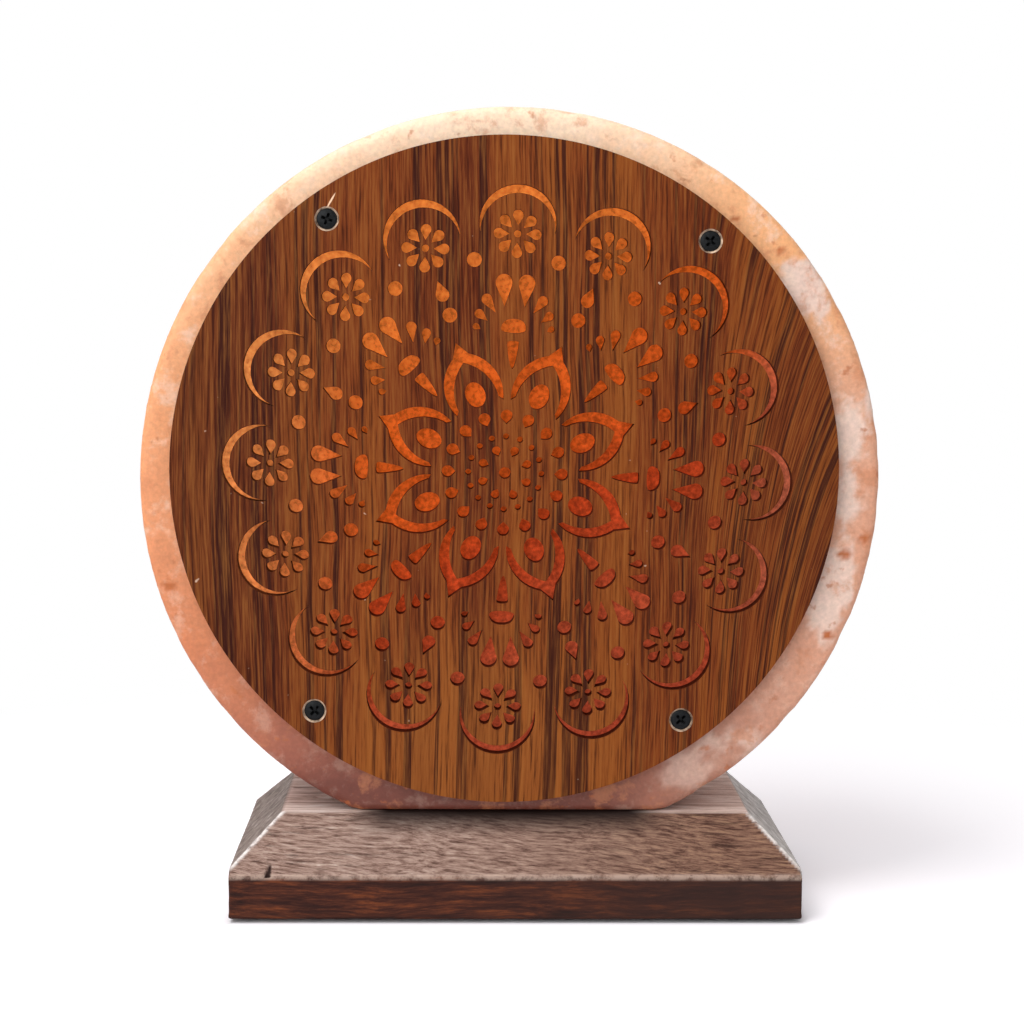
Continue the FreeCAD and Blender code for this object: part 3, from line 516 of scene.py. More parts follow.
def tulip_outline():
    """Pointed petal drawn as a band, open at its foot."""
    neck, vault = (2.25, 33.6), (0.0, 31.6)
    outside = arc_through(neck, (7.7, 25.4), (6.7, 18.7), 16)
    inside = arc_through((5.75, 19.9), (4.9, 25.8), vault, 14)
    right = outside + inside[:-1]
    return [(0.0, 37.4)] + right + [vault] + [(-x, y) for x, y in reversed(right)]


def placed(outline, ring, angle, lean=0.0):
    """Outline moved out to a ring at an angle, leaning clockwise from the outward way."""
    turn, at = math.radians(angle + lean), math.radians(angle)
    cx, cy = ring * math.sin(at), ring * math.cos(at)
    return [(cx + x * math.cos(turn) + y * math.sin(turn),
             cy - x * math.sin(turn) + y * math.cos(turn)) for x, y in outline]


def daisy_outlines(angle):
    """Eight drops and an eye, upright wherever the daisy lies."""
    at = math.radians(angle)
    cx, cy = DAISY_RING * math.sin(at), DAISY_RING * math.cos(at)
    outlines = [round_outline(1.0, 14)]
    for k in range(8):
        outlines.append(placed(drop_outline(4.26, 2.9), 4.33, 45.0 * k))
    return [[(cx + x, cy + y) for x, y in outline] for outline in outlines]


def ring_eighth():
    """Outlines of one eighth of the mandala's rings, in millimetres from its centre."""
    outlines = []
    for angle in (0.0, 22.5):
        outlines += daisy_outlines(angle)
        outlines.append(placed(crescent_outline(10.35, 10.0, 2.0), 67.0, angle))
        outlines.append(placed(round_outline(2.0, 24), 58.0, angle + 11.25))
    for side in (-1, 1):
        outlines.append(placed(drop_outline(8.8, 4.6, 20), 49.1, side * 3.45))
        for ring, away, lean, length, width in (
                (45.8, 8.4, 28.0, 5.8, 2.9), (42.9, 11.8, 40.0, 4.2, 2.5),
                (40.2, 14.3, 45.0, 2.3, 1.8)):
            outlines.append(placed(drop_outline(length, width), ring, side * away, side * lean))
    outlines.append(placed(bean_outline(7.1, 3.8), 39.6, 0.0))
    outlines.append(placed(wedge_outline(7.5, 3.5, 1.1), 31.9, 0.0))
    outlines.append(placed(drop_outline(5.8, 3.7), 52.0, 22.5, 180.0))
    outlines.append(placed(round_outline(2.0, 24), 45.2, 22.5))
    return outlines


def star_eighth():
    """Outlines of one eighth of the star inside the rings."""
    outlines = []
    for angle in (STAR_TURN, STAR_TURN + 22.5):
        outlines.append(placed(drop_outline(3.9, 3.3), 15.2, angle))
        outlines.append(placed(round_outline(0.85, 14), 9.9, angle))
    outlines.append(placed(tulip_outline(), 0.0, angle))
    outlines.append(placed(oval_outline(7.1, 5.4), 22.5, angle))
    outlines.append(placed(drop_outline(2.9, 2.4), 6.2, angle))
    return outlines


def screw_places():
    """Where the panel's screws enter, as (x, z)."""
    turns = [math.radians(a) for a in SCREW_ANGLES]
    return [(PANEL_CENTRE.x + SCREW_CIRCLE * math.sin(a),
             PANEL_CENTRE.z + SCREW_CIRCLE * math.cos(a)) for a in turns]


def fret_drawing():
    """Edges of the eighth, and of what isn't repeated: hub, rim and screw holes."""
    centre_x, centre_z = PANEL_CENTRE.x + FRET_SHIFT[0], PANEL_CENTRE.z + FRET_SHIFT[1]
    single = [[(x - FRET_SHIFT[0], y - FRET_SHIFT[1])
               for x, y in round_outline(PANEL_RADIUS, 256)]]
    for x, z in screw_places():
        single.append([(x - centre_x + dx, z - centre_z + dz)
                       for dx, dz in round_outline(SCREW_MOUTH, 32)])
    corners, edges, once, star = [], [], [], []
    for outlines, size, alone, inner in ((ring_eighth(), MM, False, False),
                                         (star_eighth(), MM, False, True),
                                         ([round_outline(1.6, 20)], MM, True, True),
                                         (single, 1.0, True, False)):
        for outline in outlines:
            first, count = len(corners), len(outline)
            corners += [(x * size, y * size, 0) for x, y in outline]
            edges += [(first + k, first + (k + 1) % count) for k in range(count)]
            once += [alone] * count
            star += [inner] * count
    mesh = bpy.data.meshes.new("fret_drawing")
    mesh.from_pydata(corners, edges, [])
    mesh.attributes.new("once", "BOOLEAN", "POINT").data.foreach_set("value", once)
    mesh.attributes.new("star", "BOOLEAN", "POINT").data.foreach_set("value", star)
    return mesh


def new_tree(name, sizes):
    """A Geometry Nodes tree with a geometry socket each way and named inputs for its sizes."""
    made = bpy.data.node_groups.new(name, "GeometryNodeTree")
    made.interface.new_socket("Geometry", in_out="INPUT", socket_type="NodeSocketGeometry")
    for size, kind in sizes:
        made.interface.new_socket(size, in_out="INPUT", socket_type="NodeSocket" + kind)
    made.interface.new_socket("Geometry", in_out="OUTPUT", socket_type="NodeSocketGeometry")
    return made


def grown(piece, tree, sizes):
    """Runs a tree on a piece with these sizes, and leaves the plain mesh that it makes."""
    step = piece.modifiers.new(tree.name, "NODES")
    step.node_group = tree
    sockets = {item.name: item.identifier for item in tree.interface.items_tree
               if item.in_out == "INPUT"}
    for size, value in sizes.items():
        step[sockets[size]] = value
    piece.data = applied(piece, step)


def fretwork_tree(material):
    """Repeats the eighth round the centre, fills the wood between and gives it thickness."""
    made = new_tree("fretwork", (("Repeats", "Int"), ("Turn", "Float"), ("Thickness", "Float"),
                                 ("Star shift", "Vector")))
    sizes = add(made, "NodeGroupInput")
    once = add(made, "GeometryNodeInputNamedAttribute", {"data_type": "BOOLEAN"},
               {"Name": "once"})
    parts = add(made, "GeometryNodeSeparateGeometry", {"domain": "POINT"},
                {"Geometry": (sizes, "Geometry"), "Selection": (once, "Attribute")})
    points = add(made, "GeometryNodePoints", None, {"Count": (sizes, "Repeats")})
    index = add(made, "GeometryNodeInputIndex")
    step = add(made, "ShaderNodeMath", {"operation": "DIVIDE"},
               {0: 2 * math.pi, 1: (sizes, "Repeats")})
    angle = add(made, "ShaderNodeMath", {"operation": "MULTIPLY_ADD"},
                {0: index, 1: step, 2: (sizes, "Turn")})
    clockwise = add(made, "ShaderNodeMath", {"operation": "MULTIPLY"}, {0: angle, 1: -1.0})
    spin = add(made, "ShaderNodeCombineXYZ", None, {"Z": clockwise})
    copies = add(made, "GeometryNodeInstanceOnPoints", None,
                 {"Points": points, "Instance": (parts, "Inverted"), "Rotation": spin})
    joined = add(made, "GeometryNodeJoinGeometry", None, {0: copies})
    made.links.new(parts.outputs["Selection"], joined.inputs[0])
    loops = add(made, "GeometryNodeRealizeInstances", None, {0: joined})
    star = add(made, "GeometryNodeInputNamedAttribute", {"data_type": "BOOLEAN"},
               {"Name": "star"})
    loops = add(made, "GeometryNodeSetPosition", None,
                {"Geometry": loops, "Selection": (star, "Attribute"),
                 "Offset": (sizes, "Star shift")})
    curves = add(made, "GeometryNodeMeshToCurve", None, {"Mesh": loops})
    sheet = add(made, "GeometryNodeFillCurve", None, {"Curve": curves})
    front = add(made, "GeometryNodeExtrudeMesh", None,
                {"Mesh": sheet, "Offset Scale": (sizes, "Thickness"), "Individual": False})
    walls = add(made, "GeometryNodeStoreNamedAttribute",
                {"data_type": "FLOAT", "domain": "FACE"},
                {"Geometry": (front, "Mesh"), "Name": "wall", "Value": (front, "Side")})
    back = add(made, "GeometryNodeFlipFaces", None, {"Mesh": sheet})
    slab = add(made, "GeometryNodeJoinGeometry", None, {0: walls})
    made.links.new(back.outputs[0], slab.inputs[0])
    welded = add(made, "GeometryNodeMergeByDistance", None,
                 {"Geometry": slab, "Distance": 1e-6})
    single = add(made, "GeometryNodeRealizeInstances", None, {0: welded})
    dressed = add(made, "GeometryNodeSetMaterial", None,
                  {"Geometry": single, "Material": material})
    add(made, "NodeGroupOutput", None, {"Geometry": dressed})
    return made


# Oiled sheesham, IOR 1.5: near-black and golden stripes two to five millimetres wide run up
# it, with fibres and open pores between, and the blade's walls are burnt. The sheen is low.
WANDER_PITCH = 90.9 * MM       # how the stripes wander, and how far
WANDER = 7 * MM
BAND_PITCH = 13 * MM
STRIPE_PITCH = 2.3 * MM
FIBRE_PITCH = 0.62 * MM
DUST_PITCH = 2.381 * MM
STRETCH = 0.013                # of the grain along the disc, against across it
LEAN_CENTRE = 0.16             # the stripes at the right lean about this height
GOLDEN_PLACE = (-0.008, PANEL_FACE, 0.040)
SCRATCH = (-48.5, 194.2, 2.5, 0.28, 30)    # x and z, half length, half width, degrees of lean

panel_wood = blank_material("oiled_sheesham")
tree = panel_wood.node_tree
place = add(tree, "ShaderNodeTexCoord")
axes = add(tree, "ShaderNodeSeparateXYZ", None, {0: (place, "Object")})
lean = add(tree, "ShaderNodeMapRange", {"interpolation_type": EASED},
           {"Value": (axes, "X"), "From Min": 0.040, "From Max": 0.095, "To Max": -0.45})
rise = add(tree, "ShaderNodeMath", {"operation": "SUBTRACT"}, {0: (axes, "Z"), 1: LEAN_CENTRE})
lean = add(tree, "ShaderNodeMath", {"operation": "MULTIPLY"}, {0: lean, 1: rise})
drift = add(tree, "ShaderNodeTexNoise", None,
            {"Vector": (place, "Object"), "Scale": 1 / WANDER_PITCH, "Detail": 2.0})
drift = add(tree, "ShaderNodeMath", {"operation": "MULTIPLY_ADD"},
            {0: drift, 1: WANDER, 2: lean})
across = add(tree, "ShaderNodeMath", {"operation": "ADD"}, {0: (axes, "X"), 1: drift})
along = add(tree, "ShaderNodeMath", {"operation": "MULTIPLY"}, {0: (axes, "Z"), 1: STRETCH})
grain = add(tree, "ShaderNodeCombineXYZ", None,
            {"X": across, "Y": (axes, "Y"), "Z": along})
slender = add(tree, "ShaderNodeVectorMath", {"operation": "MULTIPLY"},
              {0: grain, 1: (1.0, 1.0, 2.6)})
clouds = {}
for name, vector, pitch, detail, roughness in (
        ("bands", grain, BAND_PITCH, 2.0, 0.5),
        ("stripes", grain, STRIPE_PITCH, 2.5, 0.62),
        ("fibres", slender, FIBRE_PITCH, 3.0, 0.7),
        ("dust", (place, "Object"), DUST_PITCH, 1.0, 0.5)):
    clouds[name] = add(tree, "ShaderNodeTexNoise", None,
                       {"Vector": vector, "Scale": 1 / pitch, "Detail": detail,
                        "Roughness": roughness})
tone = add(tree, "ShaderNodeValToRGB", None, {"Fac": clouds["bands"]},
           stops=((0.30, "5C2409"), (0.42, "682D0C"), (0.50, "743510"), (0.58, "7D3E13"),
                  (0.70, "874817")))
aside = add(tree, "ShaderNodeMath", {"operation": "SUBTRACT"}, {0: (axes, "X"), 1: 0.015})
aside = add(tree, "ShaderNodeMath", {"operation": "ABSOLUTE"}, {0: aside})
golden = add(tree, "ShaderNodeVectorMath", {"operation": "DISTANCE"},
             {0: (place, "Object"), 1: GOLDEN_PLACE})
middle_x, middle_z, half_length, half_width, turned = SCRATCH
scratch = add(tree, "ShaderNodeMapping", {"vector_type": "TEXTURE"},
              {"Vector": (place, "Object"),
               "Location": (middle_x * MM, PANEL_FACE, middle_z * MM),
               "Rotation": (0.0, math.radians(turned), 0.0),
               "Scale": (half_width * MM, 10.0, half_length * MM)})
scratch = add(tree, "ShaderNodeVectorMath", {"operation": "LENGTH"}, {0: scratch})
colour, much = tone, {}
for name, ease, source, low, high, most, code in (
        ("aside", EASED, aside, 0.045, 0.100, 0.65, "52230C"),
        ("golden", EASED, golden, 0.055, 0.015, 0.45, "9A5A24"),
        ("stripe", EASED, clouds["stripes"], 0.53, 0.61, 0.86, "330F05"),
        ("pale", EVEN, clouds["fibres"], 0.48, 0.70, 0.50, "9A5F2A"),
        ("pore", EVEN, clouds["fibres"], 0.48, 0.34, 0.72, "2C0C04"),
        ("scratch", EVEN, scratch, 1.0, 0.7, 1.0, "E9C3A0"),
        ("dust", EVEN, clouds["dust"], 0.795, 0.83, 0.8, "C8A890")):
    much[name] = add(tree, "ShaderNodeMapRange", {"interpolation_type": ease},
                     {"Value": source, "From Min": low, "From Max": high, "To Max": most})
    colour = add(tree, "ShaderNodeMix", {"data_type": "RGBA"},
                 {"Factor": much[name], "A": colour, "B": linear(code)})
wall = add(tree, "ShaderNodeAttribute", {"attribute_name": "wall"})
charred = add(tree, "ShaderNodeMix", {"data_type": "RGBA"},
              {"Factor": (wall, "Fac"), "A": colour, "B": linear("4A1D0C")})
depth = add(tree, "ShaderNodeMath", {"operation": "SUBTRACT"},
            {0: clouds["fibres"], 1: much["pore"]})
dents = add(tree, "ShaderNodeBump", None,
            {"Height": depth, "Strength": 0.45, "Distance": 0.12 * MM})
dull = add(tree, "ShaderNodeMapRange", None,
           {"Value": much["pore"], "To Min": 0.50, "To Max": 0.80})
shader = add(tree, "ShaderNodeBsdfPrincipled", None,
             {"Base Color": charred, "Roughness": dull, "Normal": dents,
              "IOR": 1.5, "Specular IOR Level": 0.10})
add(tree, "ShaderNodeOutputMaterial", None, {"Surface": shader})
panel = new_object("fretted_panel", fret_drawing())
grown(panel, fretwork_tree(panel_wood),
      {"Repeats": FRET_REPEATS, "Turn": FRET_TURN, "Thickness": PANEL_THICKNESS,
       "Star shift": STAR_SHIFT})
panel.data.transform(Matrix.Translation((PANEL_CENTRE.x + FRET_SHIFT[0], PANEL_BACK,
                                         PANEL_CENTRE.z + FRET_SHIFT[1]))
                     @ Matrix.Rotation(math.radians(90), 4, "X"))
fitted(panel, "root", "fret_panel")


# ------------------------------------------------------------------ base block
# A block of the same timber, stained dark and planed to four bevels. The bevels and the top have
# greyed where the stain wore off, and the top is painted paler still against the drum's shade. Its
# arrises are rubbed pale and carry a painted highlight, a painted shadow lies under the salt's
# foot, and it has a few knocks.

BASE_VOXEL = 0.75 * MM
BASE_LEFT, BASE_RIGHT = -0.076, 0.080
BASE_MIDDLE = 2.0                      # x, in millimetres, as are the rest
BASE_TOP, BASE_BAND = 27.5, 13.0       # heights of the top and of the band under the bevels
LONG_BEVEL = (26.0, 14.0, 14.5)        # where it starts, how far it runs out and how far down
END_BEVEL = (64.7, 13.3, 12.8)
BASE_CRACK = (-65.2, 12.6, 17.5)       # x, and the heights that it runs between
BASE_DENT = (-52.0, -9.0, 2.8, 2.0)    # x, y and half sizes
BASE_SPLIT = (-62.5, -44.0, 2.0)       # from x to x, and y
CRACK_DEPTH, DENT_DEPTH, SPLIT_DEPTH = 1.3, 0.7, 0.5


def knock(place):
    """Depth of the crack, the dent and the split at a place, in millimetres."""
    x, y, z = place / MM
    on_top = above(z, BASE_TOP - 0.5, BASE_TOP - 0.2)
    crack_x, crack_low, crack_high = BASE_CRACK
    narrow = 0.10 + 0.45 * (crack_high - z) / (crack_high - crack_low)
    crack = above(narrow - abs(x - crack_x + 0.10 * math.sin(z * 2)), -0.25, 0.35) \
        * above(z, crack_low - 0.3, crack_low + 0.3) * (1 - above(z, crack_high - 1, crack_high)) \
        * above(-y, 20, 24)
    dent_x, dent_y, half_x, half_y = BASE_DENT
    away = math.hypot((x - dent_x) / half_x, (y - dent_y) / half_y)
    dent = (1 - above(away, 0.6, 1.1)) * on_top
    from_x, to_x, split_y = BASE_SPLIT
    split = (1 - above(abs(y - split_y - 0.6 * math.sin(x * 0.4)), 0.3, 0.9)) \
        * on_top * above(x, from_x, from_x + 2) * (1 - above(x, to_x - 6, to_x))
    return CRACK_DEPTH * crack, DENT_DEPTH * dent, SPLIT_DEPTH * split


def base_wear(place, normal):
    slow = 0.5 + 0.5 * noise.noise(place * 45)
    fine = 0.5 + 0.5 * noise.noise(Vector((place.x * 90, place.y * 600, place.z * 600)))
    on_foot = 1 - above(place.z, 0.001, 0.003)
    under_drum = above(place.z, 0.0265, 0.0274) * (1 - above(abs(place.x), 0.041, 0.045)) \
        * (1 - above(abs(place.y), 0.024, 0.027))
    rubbed = slow * 0.30 * MM + fine * 0.16 * MM
    return rubbed * (1 - on_foot) * (1 - under_drum) + sum(knock(place)) * MM


def base_zones(place, normal):
    """How much a point is long bevel, end bevel, and plateau."""
    sloped = above(normal.z, 0.25, 0.55) * (1 - above(normal.z, 0.90, 0.97))
    ends = above(abs(normal.x), 0.30, 0.55)
    return sloped * (1 - ends), sloped * ends, above(normal.z, 0.90, 0.98)


def past_bevel(out, height, bevel):
    """How far a place lies outside the plane of a bevel, in millimetres."""
    start, run, fall = bevel
    return ((out - start) * fall + (height - BASE_TOP) * run) / math.hypot(run, fall)


def base_edges_and_shadow(place, normal):
    """How near a point is to a slanted arris and to the top of the band, which carry pale wear and
    a painted highlight, and to the salt's foot, where a painted shadow lies.
    """
    x, y, z = abs(place.x / MM - BASE_MIDDLE), abs(place.y / MM), place.z / MM
    past_long, past_end = past_bevel(y, z, LONG_BEVEL), past_bevel(x, z, END_BEVEL)
    # Pale lines along these arrises are rubbed wear with a painted highlight as well.
    slanted = above(min(past_long, past_end), -1.1, -0.35) \
        * above(z, BASE_BAND + 0.5, BASE_BAND + 3)
    band_top = above(min(past_long, y - LONG_BEVEL[0] - LONG_BEVEL[1]), -0.9, -0.3)
    # Painted shadow under the drum's foot and the panel, on the top's front edge and down the
    # bevel.
    under = (1 - above(y, 25.5, 33.0)) * (1 - above(abs(place.x / MM), 33, 46)) * above(z, 20, 24)
    return slanted, band_top, under


base = merged_copy("wooden_base", "base_block")
remeshed(base, BASE_VOXEL)
painted(base, "zones", base_zones)
painted(base, "edges", base_edges_and_shadow)
painted(base, "knocks", lambda place, normal: [min(k, 1.0) for k in knock(place)])
worn(base, "base_block", base_wear)

# Dark-stained wood, IOR 1.5 and nearly matt. Its fibres run along the base, ragged on the
# planed slopes, and the sawn ends show mottled grey end grain.
BASE_WANDER_PITCH = 45.45 * MM
STREAK_PITCH = 1.9 * MM
RAGGED_PITCH = 0.70 * MM
MOTTLE_PITCH = 3.0 * MM
RAGGED_SLANT = math.radians(-9)        # of the torn fibres on the slopes

base_wood = blank_material("stained_sheesham")
tree = base_wood.node_tree
place = add(tree, "ShaderNodeTexCoord")
axes = add(tree, "ShaderNodeSeparateXYZ", None, {0: (place, "Object")})
painted_on = [add(tree, "ShaderNodeAttribute", {"attribute_name": name})
              for name in ("zones", "knocks", "edges")]
zones, knocks, edges = (add(tree, "ShaderNodeSeparateColor", None, {0: (layer, "Color")})
                        for layer in painted_on)
to_right = add(tree, "ShaderNodeMapRange", None,
               {"Value": (axes, "X"), "From Min": BASE_LEFT, "From Max": BASE_RIGHT})
drift = add(tree, "ShaderNodeTexNoise", None,
            {"Vector": (place, "Object"), "Scale": 1 / BASE_WANDER_PITCH, "Detail": 2.0})
drift = add(tree, "ShaderNodeVectorMath", {"operation": "SCALE"},
            {0: (drift, "Color"), "Scale": WANDER})
drifted = add(tree, "ShaderNodeVectorMath", {"operation": "ADD"},
              {0: (place, "Object"), 1: drift})
grain = add(tree, "ShaderNodeMapping", None,
            {"Vector": drifted, "Scale": (0.09, 1.0, 1.0)})
slant = add(tree, "ShaderNodeMapping", {"vector_type": "TEXTURE"},
            {"Vector": drifted, "Rotation": (0.0, 0.0, RAGGED_SLANT),
             "Scale": (13.0, 1.0, 1.0)})
clouds = {}
for name, vector, pitch, detail, roughness in (
        ("streaks", grain, STREAK_PITCH, 7.0, 0.74),
        ("ragged", slant, RAGGED_PITCH, 5.0, 0.76),
        ("mottle", (place, "Object"), MOTTLE_PITCH, 5.0, 0.7)):
    clouds[name] = add(tree, "ShaderNodeTexNoise", None,
                       {"Vector": vector, "Scale": 1 / pitch, "Detail": detail,
                        "Roughness": roughness})
ramps = {}
for name, cloud, stops in (
        ("band", "streaks", ((0.34, "1C0B06"), (0.45, "34170F"), (0.53, "4A2416"),
                             (0.62, "6C371C"), (0.74, "8A4F2A"))),
        ("greyed", "ragged", ((0.32, "452C23"), (0.42, "765B50"), (0.50, "94786C"),
                              (0.60, "AA9184"), (0.72, "C6B2A6"))),
        ("redder", "ragged", ((0.32, "301A13"), (0.42, "583A2E"), (0.50, "765647"),
                              (0.60, "8E6C57"), (0.72, "A8805F"))),
        ("paler_end_grain", "mottle", ((0.30, "7F7772"), (0.45, "AAA4A0"), (0.58, "C8C2BF"),
                                 (0.72, "E0DCDA"))),
        ("darker_end_grain", "mottle", ((0.30, "44352E"), (0.45, "6E5D54"), (0.58, "8A7B73"),
                                 (0.72, "B0A6A0"))),
        # The top's pale stops hold greyed wood and painted light against the drum's shade above it.
        ("top", "streaks", ((0.32, "94766A"), (0.45, "CAAEA1"), (0.56, "E6D2C9"),
                            (0.70, "F3E8E3")))):
    ramps[name] = add(tree, "ShaderNodeValToRGB", None, {"Fac": clouds[cloud]}, stops)
outer = add(tree, "ShaderNodeMath", {"operation": "ABSOLUTE"}, {0: (axes, "X")})
outer = add(tree, "ShaderNodeMapRange", None,
            {"Value": outer, "From Min": 0.015, "From Max": 0.065, "To Max": 0.8})
much = {}
for name, ease, source, low, high, least, most in (
        # Darker toward the base's right end.
        ("darker_right", EASED, to_right, 0.25, 0.95, 0.0, 0.75),
        ("redder", EASED, to_right, 0.2, 0.9, 0.0, 1.0),
        ("torn", EASED, clouds["streaks"], 0.47, 0.38, 0.0, outer),
        ("rubbed", EVEN, clouds["mottle"], 0.38, 0.55, 0.2, 1.0)):
    much[name] = add(tree, "ShaderNodeMapRange", {"interpolation_type": ease},
                     {"Value": source, "From Min": low, "From Max": high, "To Min": least,
                      "To Max": most})
slope = add(tree, "ShaderNodeMix", {"data_type": "RGBA"},
            {"Factor": much["redder"], "A": ramps["greyed"], "B": ramps["redder"]})
slope = add(tree, "ShaderNodeMix", {"data_type": "RGBA"},
            {"Factor": much["torn"], "A": slope, "B": linear("2C1710")})
# End grain darker at the left end and paler at the right.
end_grain = add(tree, "ShaderNodeMix", {"data_type": "RGBA"},
                {"Factor": to_right, "A": ramps["darker_end_grain"], "B": ramps["paler_end_grain"]})
# Pale arrises and band top: rubbed wear, and a painted highlight as well.
arris = add(tree, "ShaderNodeMath", {"operation": "MULTIPLY"},
            {0: (edges, 0), 1: much["rubbed"]})
band_top = add(tree, "ShaderNodeMath", {"operation": "MULTIPLY"},
               {0: (edges, 1), 1: much["rubbed"]})
band_top = add(tree, "ShaderNodeMath", {"operation": "MULTIPLY"}, {0: band_top, 1: 0.6})
split = add(tree, "ShaderNodeMath", {"operation": "MAXIMUM"}, {0: (knocks, 0), 1: (knocks, 2)})
split = add(tree, "ShaderNodeMath", {"operation": "MULTIPLY", "use_clamp": True},
            {0: split, 1: 1.6})
colour = ramps["band"]
# Darker to the right, the zones, pale arrises with painted highlight, painted shadow under the
# salt.
for share, tint in ((much["darker_right"], linear("2F1D18")), ((zones, 0), slope),
                    ((zones, 1), end_grain), ((zones, 2), ramps["top"]),
                    (arris, linear("EDE6E2")), (band_top, linear("C8AE9E")),
                    ((edges, 2), linear("170A07")), (split, linear("24110B"))):
    colour = add(tree, "ShaderNodeMix", {"data_type": "RGBA"},
                 {"Factor": share, "A": colour, "B": tint})
relief = add(tree, "ShaderNodeMath", {"operation": "ADD"},
             {0: clouds["streaks"], 1: clouds["ragged"]})
dents = add(tree, "ShaderNodeBump", None,
            {"Height": relief, "Strength": 0.55, "Distance": 0.3 * MM})
shader = add(tree, "ShaderNodeBsdfPrincipled", None,
             {"Base Color": colour, "Roughness": 0.62, "Normal": dents, "IOR": 1.5,
              "Specular IOR Level": 0.16})
add(tree, "ShaderNodeOutputMaterial", None, {"Surface": shader})
base.data.materials.append(base_wood)
fitted(base, "root", "base_block")


# ------------------------------------------------------------------ panel screws
# Black steel screws with countersunk heads and cross recesses. Their mouths were cut after the
# panel was oiled, so a ring of bare wood shows round each head.

SCREW_FACE = -28.55            # y of the heads' faces, 0.45 mm below the panel's face
SCREW_SPINS = (20.0, 38.0, 47.0, 41.0)
CRISP = math.radians(34)       # edges sharper than this stay crisp


def lathed(profile, sides=48, ripple=None):
    """Shape about Z from closed (radius, height) corners. Ripple takes a corner and its angle."""
    corners, faces, rings = [], [], []
    for radius, height in profile:
        count = sides if radius else 1
        rings.append([len(corners) + k % count for k in range(sides)])
        for k in range(count):
            angle = 2 * math.pi * k / sides
            far = ripple(radius, height, angle) if ripple and radius else radius
            corners.append((far * math.cos(angle), far * math.sin(angle), height))
    for lower, upper in zip(rings, rings[1:] + rings[:1]):
        for k in range(sides):
            around = (lower[k], lower[k - sides + 1], upper[k - sides + 1], upper[k])
            face = tuple(dict.fromkeys(around))
            if len(face) > 2:
                faces.append(face)
    return corners, faces


def lofted(rings):
    """Shape through rings of equal numbers of corners, closed at both ends."""
    count = len(rings[0])
    corners = [corner for ring in rings for corner in ring]
    faces = [tuple(reversed(range(count))), tuple(range(len(corners) - count, len(corners)))]
    for low in range(0, len(corners) - count, count):
        for k in range(count):
            beside = low + (k + 1) % count
            faces.append((low + k, beside, beside + count, low + k + count))
    return corners, faces


def moved(shape, matrix):
    return [tuple(matrix @ Vector(corner)) for corner in shape[0]], shape[1]


def together(*shapes):
    corners, faces = [], []
    for more, sides in shapes:
        faces += [tuple(len(corners) + k for k in side) for side in sides]
        corners = corners + list(more)
    return corners, faces


def made_of(name, shape, material=None, size=MM):
    """A piece from a shape in millimetres, with its smooth faces smooth and its edges crisp."""
    mesh = bpy.data.meshes.new(name)
    mesh.from_pydata([[c * size for c in corner] for corner in shape[0]], [], shape[1])
    mesh.shade_smooth()
    mesh.set_sharp_from_angle(angle=CRISP)
    if material:
        mesh.materials.append(material)
    return new_object(name, mesh)


def carved(shape, cutter):
    """The shape less the cutter."""
    whole, tool = made_of("whole", shape, size=1.0), made_of("tool", cutter, size=1.0)
    step = whole.modifiers.new("cut", "BOOLEAN")
    step.operation, step.solver, step.object = "DIFFERENCE", "EXACT", tool
    left = applied(whole, step)
    cut = [tuple(v.co) for v in left.vertices], [tuple(face.vertices) for face in left.polygons]
    for gone in (whole, tool):
        bpy.data.objects.remove(gone)
    return cut


def repeated_tree(material):
    """Puts the shape on every marked point, turned as the point says."""
    made = new_tree("repeated", (("Size", "Float"),))
    sizes = add(made, "NodeGroupInput")
    spot = add(made, "GeometryNodeInputNamedAttribute", {"data_type": "BOOLEAN"}, {"Name": "spot"})
    turn = add(made, "GeometryNodeInputNamedAttribute", {"data_type": "FLOAT_VECTOR"},
               {"Name": "turn"})
    parts = add(made, "GeometryNodeSeparateGeometry", {"domain": "POINT"},
                {"Geometry": (sizes, "Geometry"), "Selection": (spot, "Attribute")})
    copies = add(made, "GeometryNodeInstanceOnPoints", None,
                 {"Points": (parts, "Selection"), "Instance": (parts, "Inverted"),
                  "Rotation": (turn, "Attribute"), "Scale": (sizes, "Size")})
    single = add(made, "GeometryNodeRealizeInstances", None, {0: copies})
    dressed = add(made, "GeometryNodeSetMaterial", None,
                  {"Geometry": single, "Material": material})
    add(made, "NodeGroupOutput", None, {"Geometry": dressed})
    return made


def repeated(name, shape, spots, material):
    """A piece of like shapes, one at each (place in millimetres, turns about X, Y and Z)."""
    plain = len(shape[0])
    piece = made_of(name, (list(shape[0]) + [place for place, _ in spots], shape[1]))
    piece.data.attributes.new("spot", "BOOLEAN", "POINT").data.foreach_set(
        "value", [False] * plain + [True] * len(spots))
    piece.data.attributes.new("turn", "FLOAT_VECTOR", "POINT").data.foreach_set(
        "vector", [0.0] * 3 * plain + [angle for _, turns in spots for angle in turns])
    grown(piece, repeated_tree(material), {"Size": 1.0})
    return piece


def mottled(name, codes, pitch, roughness, relief, settings):
    """A material that wanders between two colours, with roughness and relief to match."""
    made = blank_material(name)
    tree = made.node_tree
    place = add(tree, "ShaderNodeTexCoord")
    cloud = add(tree, "ShaderNodeTexNoise", None,
                {"Vector": (place, "Object"), "Scale": 1 / pitch, "Detail": 5.0,
                 "Roughness": 0.65})
    colour = add(tree, "ShaderNodeValToRGB", None, {"Fac": cloud},
                 stops=((0.34, codes[0]), (0.66, codes[1])))
    worn_by_hand = add(tree, "ShaderNodeMapRange", None,
                       {"Value": cloud, "From Min": 0.35, "From Max": 0.65,
                        "To Min": roughness[0], "To Max": roughness[1]})
    dents = add(tree, "ShaderNodeBump", None,
                {"Height": cloud, "Strength": 0.5, "Distance": relief})
    shader = add(tree, "ShaderNodeBsdfPrincipled", None,
                 {"Base Color": colour, "Roughness": worn_by_hand,
                  "Normal": dents, **settings})
    add(tree, "ShaderNodeOutputMaterial", None, {"Surface": shader})
    return made


